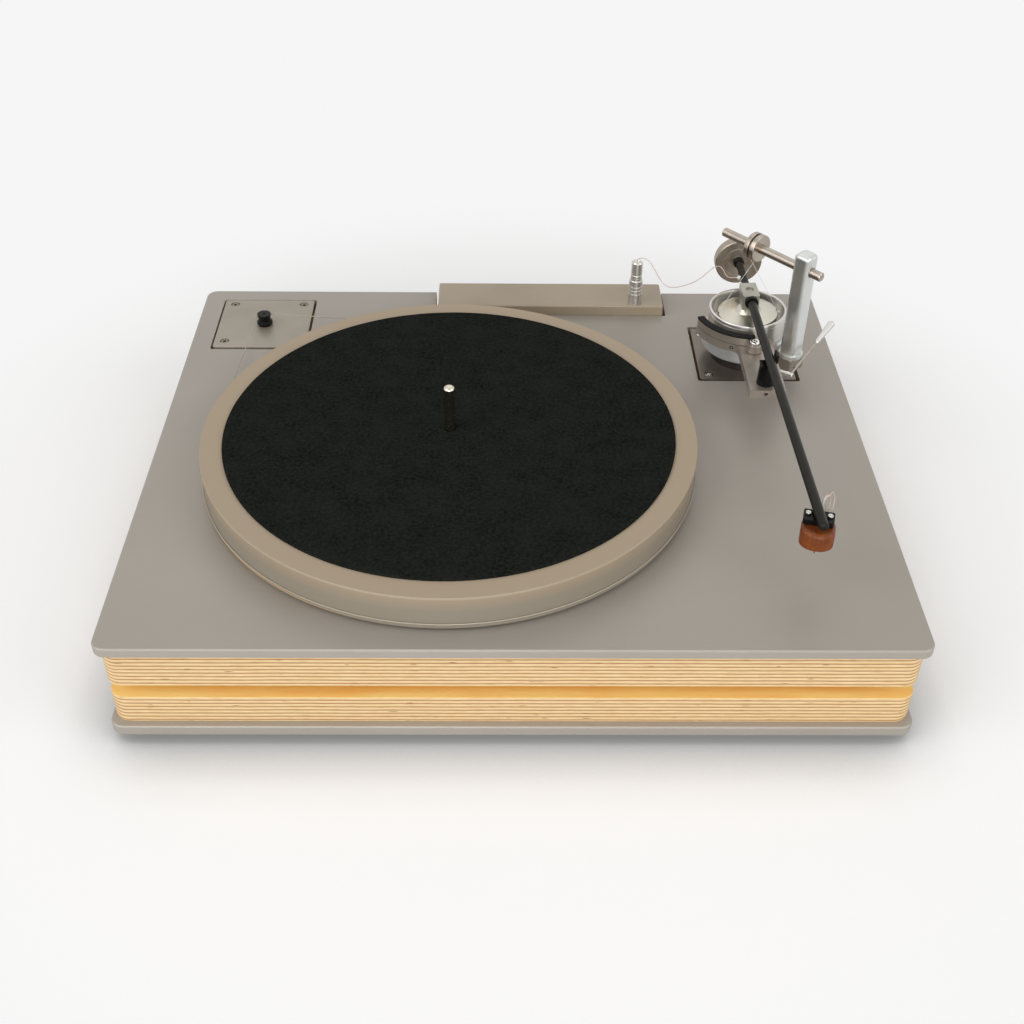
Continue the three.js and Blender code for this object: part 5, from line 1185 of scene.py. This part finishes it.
@dataclass
class ArmMount:
    """The base plate, pedestal, collar with its lug, damping cup and gantry."""

    collar_radius: float = 31.2
    cup_radius: float = 28.2
    cup_wall: float = 2.2
    cup_bottom: float = 22.0
    cup_floor: float = 3.0
    cup_top: float = 39.5
    rod_height: float = 88.5
    rod_radius: float = 3.25
    rod_ends: tuple[float, float] = (-30.2, 57.8)
    knob_radius: float = 9.8
    knob_half: float = 4.4
    groove_radius: float = 7.2
    groove_half: float = 0.9
    lug_face: float = 50.4

    def build(self) -> None:
        """Build the mount from the base plate up."""
        dress_node("arm_base_plate", Body.PLINTH, DARK_GROUND_PLATE, 0.2)
        for number in range(1, 5):
            dress_node(f"arm_base_screw_{number}", Body.PLINTH, POLISHED_STEEL, 0.15)
        dress_node("arm_pedestal", Body.PLINTH, TURNED_DARK, 0.4, mount())
        self.lacquer_lug(dress_node("arm_collar", Body.PLINTH, BLASTED_COLLAR, 0.3, mount()))
        self.cup().finished("damping_cup", Body.PLINTH, TURNED_STEEL, "fluid_cup", mount())
        dress_node("gantry_post", Body.PLINTH, DRAWN_BAR, 0.35)
        along_rod = gantry() @ shifted(0, 0, self.rod_height) @ Facing.RIGHT.value
        for shape, node, body in (
            (self.rod(), "gantry_rod", Body.PLINTH), (self.knob(), "bias_knob", Body.BIAS),
        ):
            shape.finished(f"{node}_turned", body, BRONZED_STEEL, node, along_rod)
        for node in ("filament_left", "filament_right"):
            recoat(node, NYLON)
        self.lug_screws()

    def lacquer_lug(self, collar: Piece) -> None:
        """Give the lug that stands out from the collar's ring the bracket's finish.

        Args:
            collar: The dressed collar with its lug.
        """
        collar.data.materials.append(LACQUERED_CASTING.material())
        axis = Vector(PIVOT) / MM_PER_M
        for face in collar.data.polygons:
            if (face.center.xy - axis).length > self.collar_radius / MM_PER_M:
                face.material_index = 1

    def cup(self) -> Shape:
        """Turn the cup with a rolled rim, a thin line below it and a rounded floor."""
        outer, inner = self.cup_radius, self.cup_radius - self.cup_wall
        low, top, floor = self.cup_bottom, self.cup_top, self.cup_bottom + self.cup_floor
        profile = [
            (0, low), (outer - 0.3, low), (outer, low + 0.3), (outer, top - 3.2),
            (outer - 0.25, top - 3.0), (outer - 0.25, top - 2.7), (outer, top - 2.5),
            (outer, top - 0.7), (outer - 0.3, top - 0.2), (outer - 0.8, top),
            (inner + 0.8, top), (inner + 0.3, top - 0.2), (inner, top - 0.7), (inner, floor + 2),
            (inner - 0.6, floor + 0.6), (inner - 2, floor), (0, floor),
        ]
        return Shape.spun(profile, 160)

    def rod(self) -> Shape:
        """Turn the cross rod with its chamfered ends and a lathe centre in each."""
        radius, (start, end) = self.rod_radius, self.rod_ends
        profile = [
            (0, start + 0.4), (0.5, start), (radius - 0.6, start), (radius, start + 0.6),
            (radius, end - 0.6), (radius - 0.6, end), (0.5, end), (0, end - 0.4),
        ]
        return Shape.spun(profile, 64)

    def knob(self) -> Shape:
        """Turn the knob: two flanges with rounded rims and the threads' groove between."""
        bore, half, rim = self.rod_radius + 0.07, self.knob_half, self.knob_radius
        groove, gap = self.groove_radius, self.groove_half
        profile = [
            (bore, -half), (6.4, -half), (6.8, 0.4 - half), (8.9, 0.4 - half),
            (rim - 0.5, -half), (rim - 0.3, 0.1 - half), (rim, 0.5 - half), (rim, -gap - 0.2),
            (rim - 0.2, -gap), (groove, -gap), (groove, gap), (rim - 0.2, gap),
            (rim, gap + 0.2), (rim, half - 0.5), (rim - 0.3, half - 0.1), (rim - 0.5, half),
            (bore, half),
        ]
        return Shape.spun(profile, 128, ring=True)

    def lug_screws(self) -> None:
        """Set two grub screws in the right face of the lug that clamps the post."""
        for number, (along, height) in enumerate(((-3.0, 12.6), (3.2, 17.0)), 1):
            place = gantry() @ shifted(self.lug_face, along, height) @ Facing.RIGHT.value
            name = f"lug_grub_screw_{number}"
            grub_screw(1.5).finished(name, Body.PLINTH, BLACK_ACETAL, place=place)


def grub_screw(radius: float) -> Shape:
    """Turn a small socket screw that stands 0.1 mm proud of the face it sits in.

    Args:
        radius: The screw's radius.

    Returns:
        The screw, its open socket facing up its own Z.
    """
    profile = [
        (0, -1.6), (radius, -1.6), (radius, 0), (radius - 0.15, 0.1), (radius * 0.6, 0.1),
        (radius * 0.5, -0.1), (radius * 0.5, -0.9), (0, -1.1),
    ]
    return Shape.spun(profile, 24)


@dataclass
class HangingArm:
    """The arm on its two beads: disc, block, tube, weight, headshell and cartridge."""

    tube_radius: float = 3.1
    tube_reach: float = 264.0
    stub_radius: float = 2.7
    stub_reach: float = 63.0
    block_half: float = 9.5
    weight_offset: float = 48.5
    weight_radius: float = 17.5
    weight_width: float = 8.0
    weight_bore: float = 2.77
    wire_bead_place: Point = (168.9, 137.2, 49.8)
    cartridge_half: float = 10.0
    cartridge_back: float = 3.0
    cartridge_side: float = 10.0
    cartridge_nose: float = 7.0
    cartridge_top: float = -5.7
    cartridge_bottom: float = -18.9
    cartridge_shift: float = 0.7
    lead_radius: float = 0.22
    sleeve_radius: float = 0.55
    pin_pitch: float = 1.7
    pin_shift: float = 2.6

    def build(self) -> None:
        """Build the arm from its pivot outwards."""
        pose = hanging_arm()
        for node in ("bead_left", "bead_right"):
            dress_node(node, Body.SUSPENSION, NYLON)
        dress_node("float_disc", Body.ARM, TURNED_ALUMINIUM, 0.25, pose)
        dress_node("pivot_block", Body.ARM, MILLED_ALUMINIUM, 0.35)
        centre = pose @ shifted(0, 0, TUBE_HEIGHT)
        front = centre @ Facing.FRONT.value
        self.tube().finished("arm_tube_black", Body.ARM, BLACK_TUBE, "arm_tube", front)
        self.bush().finished("tube_bush_black", Body.ARM, BLACK_ACETAL, place=front)
        behind = centre @ shifted(0, self.weight_offset, 0) @ Facing.BACK.value
        for shape, node, finish in (
            (self.weight(), "counterweight", TURNED_WEIGHT),
            (self.weight_collar(), "weight_collar", BLACK_ACETAL),
        ):
            shape.finished(f"{node}_turned", Body.WEIGHT, finish, node, behind)
        self.wire_bead()
        self.head()

    def tube(self) -> Shape:
        """Turn the tube with its domed end and the thinner stub behind the block."""
        radius, stub, back = self.tube_radius, self.stub_radius, -self.stub_reach
        profile = [
            (0, back), (stub - 0.5, back), (stub, back + 0.5), (stub, -self.block_half),
            (radius, -self.block_half), *dome(radius, self.tube_reach, 2, 15),
            (0, self.tube_reach),
        ]
        return Shape.spun(profile, 48)

    def bush(self) -> Shape:
        """Turn the black sleeve over the block's boss, where the tube leaves it."""
        bore = self.tube_radius + 0.1
        profile = [(bore, 9.55), (4.7, 9.55), (4.7, 12.1), (4.45, 12.42), (bore, 12.42)]
        return Shape.spun(profile, 64, ring=True)

    def weight(self) -> Shape:
        """Turn the counterweight: a dished face with two fine rings and rounded rims."""
        bore, rim, width = self.weight_bore, self.weight_radius, self.weight_width
        profile = [
            (bore, 1.6), (5.4, 1.6), (5.8, 1.45), (10.6, 0.84), (10.9, 0.95), (11.2, 0.76),
            (16.4, 0), (rim - 0.6, 0), (rim - 0.2, 0.2), (rim, 0.6), (rim, width - 0.6),
            (rim - 0.2, width - 0.2), (rim - 0.6, width), (bore, width),
        ]
        return Shape.spun(profile, 160, ring=True)

    def weight_collar(self) -> Shape:
        """Turn the black collar that keeps the weight in place on the stub."""
        bore = self.weight_bore
        profile = [(bore, -1.9), (3.2, -1.9), (3.7, -1.6), (3.9, -1.2), (3.9, 1.3), (bore, 1.3)]
        return Shape.spun(profile, 48, ring=True)

    def wire_bead(self) -> None:
        """Put the small white bead on the wire where it meets the stub."""
        bead = Shape()
        bmesh.ops.create_uvsphere(bead.mesh, u_segments=24, v_segments=16, radius=1.5)
        bmesh.ops.scale(bead.mesh, vec=(1.25, 0.9, 1.0), verts=bead.mesh.verts)
        bead.finished("wire_bead", Body.ARM, NYLON, place=deck(*self.wire_bead_place))

    def head(self) -> None:
        """Build the headshell, its screws, the cartridge with its leads, and the stylus."""
        dress_node("headshell", Body.ARM, BLACK_ACETAL, 0.3)
        for side in ("left", "right"):
            dress_node(f"headshell_screw_{side}", Body.ARM, POLISHED_STEEL, 0.2)
        body = self.cartridge()
        body.finished("cartridge_body", Body.ARM, ROSEWOOD, "cartridge", headshell())
        dress_node("stylus", Body.ARM, BLACK_ACETAL)
        self.leads()

    def cartridge(self) -> Shape:
        """Shape the wooden body: straight sides, a round nose and softened edges."""
        half, back, low = self.cartridge_half, self.cartridge_back, self.cartridge_bottom
        front = back - self.cartridge_side
        outline = [(half, back), (-half, back)]
        for angle in (math.pi + math.pi * step / 24 for step in range(25)):
            outline.append((half * math.cos(angle), front + self.cartridge_nose * math.sin(angle)))
        shape = Shape()
        mesh = shape.mesh
        corners = [mesh.verts.new((x + self.cartridge_shift, y, low)) for x, y in outline]
        face = mesh.faces.new(corners)
        raised = bmesh.ops.extrude_face_region(mesh, geom=[face])["geom"]
        moved = [item for item in raised if isinstance(item, bmesh.types.BMVert)]
        bmesh.ops.translate(mesh, vec=(0, 0, self.cartridge_top - low), verts=moved)
        bmesh.ops.recalc_face_normals(mesh, faces=mesh.faces)
        return shape.eased(3.0, 6)

    def leads(self) -> None:
        """Loop four fine leads from the tube's end to the pins behind the cartridge."""
        for number in range(4):
            shift = (number - 1.5) * self.pin_pitch
            route = (
                (shift + self.pin_shift, 3.4, -8.0),
                (shift * 1.1 + 3.6, 7.5, -8.6 + 0.7 * number),
                (shift * 1.2 + 4.4, 11.5 + number, -6.5 + 2.3 * number),
                (shift * 0.9 + 3.9, 15.5 + 1.5 * number, -2.0 + 1.4 * number),
                (shift * 0.3 + 3.8, 17.0, 1.4),
                (2.2 + 0.2 * shift, 15.5, 0.6),
            )
            line = smooth_line([(headshell() @ Vector(point)) / MM_PER_M for point in route], 8)
            name = f"cartridge_lead_{number + 1}"
            wire_along(name, line, self.lead_radius, Body.ARM, ENAMELLED_WIRE)
            if number == 0:
                middle = line[len(line) // 4 : 3 * len(line) // 4]
                wire_along("cartridge_lead_sleeve", middle, self.sleeve_radius, Body.ARM, NYLON)
            self.pin(number + 1, shift + self.pin_shift)

    def pin(self, number: int, across: float) -> None:
        """Set one pin in the cartridge's back, where its lead ends.

        Args:
            number: The pin's number.
            across: Its distance from the headshell's middle.
        """
        pin = Shape.spun([(0, 0), (0.75, 0), (0.75, 3.0), (0.45, 3.4), (0, 3.4)], 20)
        place = headshell() @ shifted(across, 3.1, -8.0) @ Facing.BACK.value
        pin.finished(f"cartridge_pin_{number}", Body.ARM, BRASS_PIN, place=place)


@dataclass
class ArmLift:
    """The bracket with its cam housing, the lift platform and pad, and the hand lever."""

    axle_height: float = 19.5
    piston: tuple[float, float] = (-1.4, -44.2)
    axle_turn_deg: float = -31.0
    lever_start: float = 29.0
    lever_turn_deg: float = 53.8
    lever_rise_deg: float = -10.0
    lever_radius: float = 0.9
    grub_turn_deg: float = -114.0
    grub_place: Point = (38.8, 0.0, 27.0)

    def build(self) -> None:
        """Dress the bracket and the rising parts, and turn the lever."""
        dress_node("lift_bracket", Body.PLINTH, LACQUERED_CASTING, 0.3)
        dress_node("lift_platform", Body.LIFT, LACQUERED_CASTING, 0.3)
        dress_node("lift_pad", Body.LIFT, MOULDED_RUBBER, 0.6, steps=3)
        piston_axis = mount() @ shifted(*self.piston, 0)
        dress_node("lift_piston", Body.LIFT, CHROME, 0.2, piston_axis)
        axle = piston_axis @ shifted(0, 0, self.axle_height) @ turned(self.axle_turn_deg, "Z")
        dress_node("lift_axle", Body.LEVER, CHROME, 0.2, axle @ Facing.RIGHT.value)
        turn = turned(self.lever_turn_deg - self.axle_turn_deg, "Z")
        hand = axle @ shifted(self.lever_start, 0, 0) @ turn
        hand = hand @ turned(self.lever_rise_deg, "Y") @ Facing.RIGHT.value
        self.handle().finished("lever_handle_turned", Body.LEVER, TURNED_STEEL, "lift_lever", hand)
        self.rod().finished("lever_rod_turned", Body.LEVER, BRONZED_STEEL, place=hand)
        place = mount() @ turned(self.grub_turn_deg, "Z") @ shifted(*self.grub_place)
        place = place @ Facing.RIGHT.value
        grub_screw(1.4).finished("bracket_grub_screw", Body.PLINTH, BLACK_ACETAL, place=place)

    def rod(self) -> Shape:
        """Turn the thin rod between the axle and the handle."""
        radius = self.lever_radius
        profile = [(0, 2.3), (radius - 0.1, 2.3), (radius, 2.4), (radius, 40.2), (0, 40.2)]
        return Shape.spun(profile, 32)

    def handle(self) -> Shape:
        """Turn the handle that swells towards its rounded end."""
        profile = [
            (0, 39.6), (self.lever_radius, 39.6), (1.2, 40.3), (1.5, 40.5), (1.7, 46.0),
            (2.0, 52.0), (2.4, 59.5), (2.65, 63.6), (2.6, 64.4), (2.3, 65.0), (1.6, 65.3),
            (0, 65.3),
        ]
        return Shape.spun(profile, 48)


@dataclass
class ArmRest:
    """The post with the hook in which the parked arm lies."""

    edge: float = 0.35

    def build(self) -> None:
        """Dress the rest with rounded edges."""
        dress_node("arm_rest", Body.PLINTH, BLACK_ACETAL, self.edge)


@dataclass
class Studio:
    """A plain pale floor, soft lamps and the camera at the photograph's angle."""

    focal_px: float = 1322.1
    frame_px: float = 1024.0
    sensor_mm: float = 36.0
    place: Point = (-10.99, -729.96, 533.44)
    pitch_deg: float = 39.251
    yaw_deg: float = 0.907
    roll_deg: float = 0.767
    background: str = "#F6F6F6"
    even_light: str = "#F4F4F3"
    even_strength: float = 0.33
    floor_tone: str = "#DDDDDD"
    floor_half_m: float = 12.0
    # The share of the floor's light that is steady, and the painted contact shadow, from ambient
    # occlusion, that darkens the floor's colour and glow near the object.
    steady_share: float = 0.37
    contact_reach_m: float = 0.06
    contact_range: tuple[float, float] = (0.42, 0.96)
    contact_least: float = 0.4
    # How far from the middle the shadow starts to fade, and where the floor is plain.
    shadow_reach_m: tuple[float, float] = (0.35, 0.54)
    aim_m: Point = (0.0, 0.0, 0.08)
    # Each lamp's name, place in metres, side in metres and power in watts.
    lamps: tuple[tuple[str, Point, float, float], ...] = (
        ("key_softbox", (-2.8, -1.6, 2.6), 3.0, 66.0),
        ("fill_softbox", (2.9, -1.4, 2.2), 2.6, 38.0),
        ("back_softbox", (0.2, 2.6, 3.2), 3.0, 10.0),
        ("front_softbox", (0.0, -4.4, 0.9), 3.2, 125.0),
    )

    def build(self) -> None:
        """Set up the camera, the floor, the world and the lamps."""
        self.camera()
        self.floor()
        self.world()
        for name, place, size, power in self.lamps:
            self.lamp(name, place, size, power)

    def camera(self) -> None:
        """Place the camera as the photograph's perspective asks."""
        data = bpy.data.cameras.new("photograph_camera")
        data.sensor_width = self.sensor_mm
        data.lens = self.focal_px * self.sensor_mm / self.frame_px
        data.clip_start = 0.01
        camera = bpy.data.objects.new("photograph_camera", data)
        aim = turned(-self.yaw_deg, "Z") @ turned(90 - self.pitch_deg, "X")
        where = deck(*self.place).to_translation() / MM_PER_M
        camera.matrix_world = Matrix.Translation(where) @ aim @ turned(self.roll_deg, "Z")
        bpy.context.scene.collection.objects.link(camera)
        bpy.context.scene.camera = camera

    def seen(self, tree: Tree) -> Socket:
        """Return 1 for rays from the camera, a mirror or glass, and 0 for the rest.

        Args:
            tree: The node tree to add to.

        Returns:
            The value.
        """
        path = add_node(tree, "LightPath").outputs
        either = {0: path["Is Camera Ray"], 1: path["Is Glossy Ray"]}
        mirrored = add_node(tree, "Math", either, operation="MAXIMUM")
        any_of_them = {0: mirrored, 1: path["Is Transmission Ray"]}
        return add_node(tree, "Math", any_of_them, operation="MAXIMUM").outputs[0]

    def floor(self) -> None:
        """Lay the floor: near the object it takes the lamps' soft shadow and a painted contact
        shadow, and further off it is even.
        """
        mesh = bmesh.new()
        bmesh.ops.create_grid(mesh, x_segments=1, y_segments=1, size=self.floor_half_m)
        data = bpy.data.meshes.new("studio_floor")
        mesh.to_mesh(data)
        mesh.free()
        made = bpy.data.materials.new("matt white studio floor")
        tree = cleared_tree(made)
        seen = self.seen(tree)
        place = add_node(tree, "TexCoord").outputs["Object"]
        radius = add_node(tree, "VectorMath", {0: place}, operation="LENGTH").outputs["Value"]
        start, end = self.shadow_reach_m
        span = {"Value": radius, "From Min": start, "From Max": end}
        distant = add_node(tree, "MapRange", span, interpolation_type="SMOOTHSTEP")
        share = add_node(tree, "Math", {0: distant, 1: seen}, operation="MULTIPLY")
        plain = add_node(tree, "Emission", {"Color": linear(self.background)})
        mixed = add_node(tree, "MixShader", {0: share, 1: self.shadowed(tree, seen), 2: plain})
        add_node(tree, "OutputMaterial", {"Surface": mixed})
        data.materials.append(made)
        floor = bpy.data.objects.new("studio_floor", data)
        bpy.context.scene.collection.objects.link(floor)

    def shadowed(self, tree: Tree, seen: Socket) -> Socket:
        """Return the floor's surface near the object, with a painted contact shadow where the
        object stands on it.

        Args:
            tree: The floor's node tree.
            seen: Whether the floor is looked at, or only lights the rest.

        Returns:
            The shader.
        """
        # Ambient occlusion paints a contact shadow into the floor's colour and its glow.
        open_sky = {"Distance": self.contact_reach_m}
        above = add_node(tree, "AmbientOcclusion", open_sky, samples=16).outputs["AO"]
        low, high = self.contact_range
        span = {"From Min": low, "From Max": high, "To Min": self.contact_least}
        painted_contact_shadow = add_node(tree, "MapRange", {"Value": above, **span})
        tones = {SHARE: painted_contact_shadow, FIRST: linear("#000000"), SECOND: linear(self.floor_tone)}
        white = add_node(tree, "Mix", tones, data_type="RGBA").outputs[BLEND]
        diffuse = add_node(tree, "BsdfDiffuse", {"Color": white})
        shown = add_node(tree, "Math", {0: seen, 1: painted_contact_shadow}, operation="MULTIPLY")
        steady = add_node(tree, "Math", {0: shown, 1: self.steady_share}, operation="MULTIPLY")
        light = {"Color": linear(self.background), "Strength": steady}
        glow = add_node(tree, "Emission", light)
        return add_node(tree, "AddShader", {0: diffuse, 1: glow}).outputs[0]

    def world(self) -> None:
        """Light evenly from all sides, and show the pale background to the camera."""
        world = bpy.data.worlds.new("studio_world")
        bpy.context.scene.world = world
        tree = cleared_tree(world)
        soft, shown = (
            add_node(tree, "Background", {"Color": linear(colour), "Strength": strength})
            for colour, strength in ((self.even_light, self.even_strength), (self.background, 1.0))
        )
        mixed = add_node(tree, "MixShader", {0: self.seen(tree), 1: soft, 2: shown})
        add_node(tree, "OutputWorld", {"Surface": mixed})

    def lamp(self, name: str, place: Point, size: float, power: float) -> None:
        """Hang one soft square lamp that looks at the turntable.

        Args:
            name: The lamp's name.
            place: Where it hangs, in metres.
            size: The length of its side, in metres.
            power: Its power in watts.
        """
        data = bpy.data.lights.new(name, "AREA")
        data.shape = "SQUARE"
        data.size = size
        data.energy = power
        lamp = bpy.data.objects.new(name, data)
        turn = (Vector(self.aim_m) - Vector(place)).to_track_quat("-Z", "Y").to_matrix().to_4x4()
        lamp.matrix_world = Matrix.Translation(place) @ turn
        bpy.context.scene.collection.objects.link(lamp)


def main() -> None:
    """Load the frame, build the studio, the cords and every sub-assembly."""
    logging.basicConfig(level=logging.INFO, format="%(name)s: %(message)s")
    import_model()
    bpy.context.scene.view_settings.view_transform = "Standard"
    Studio().build()
    for assembly in (
        ArmWire(), Plinth(), PlatterSet(), MotorUnit(), Terminals(), ArmMount(), HangingArm(),
        ArmLift(), ArmRest(),
    ):
        assembly.build()


if __name__ == "__main__":
    main()
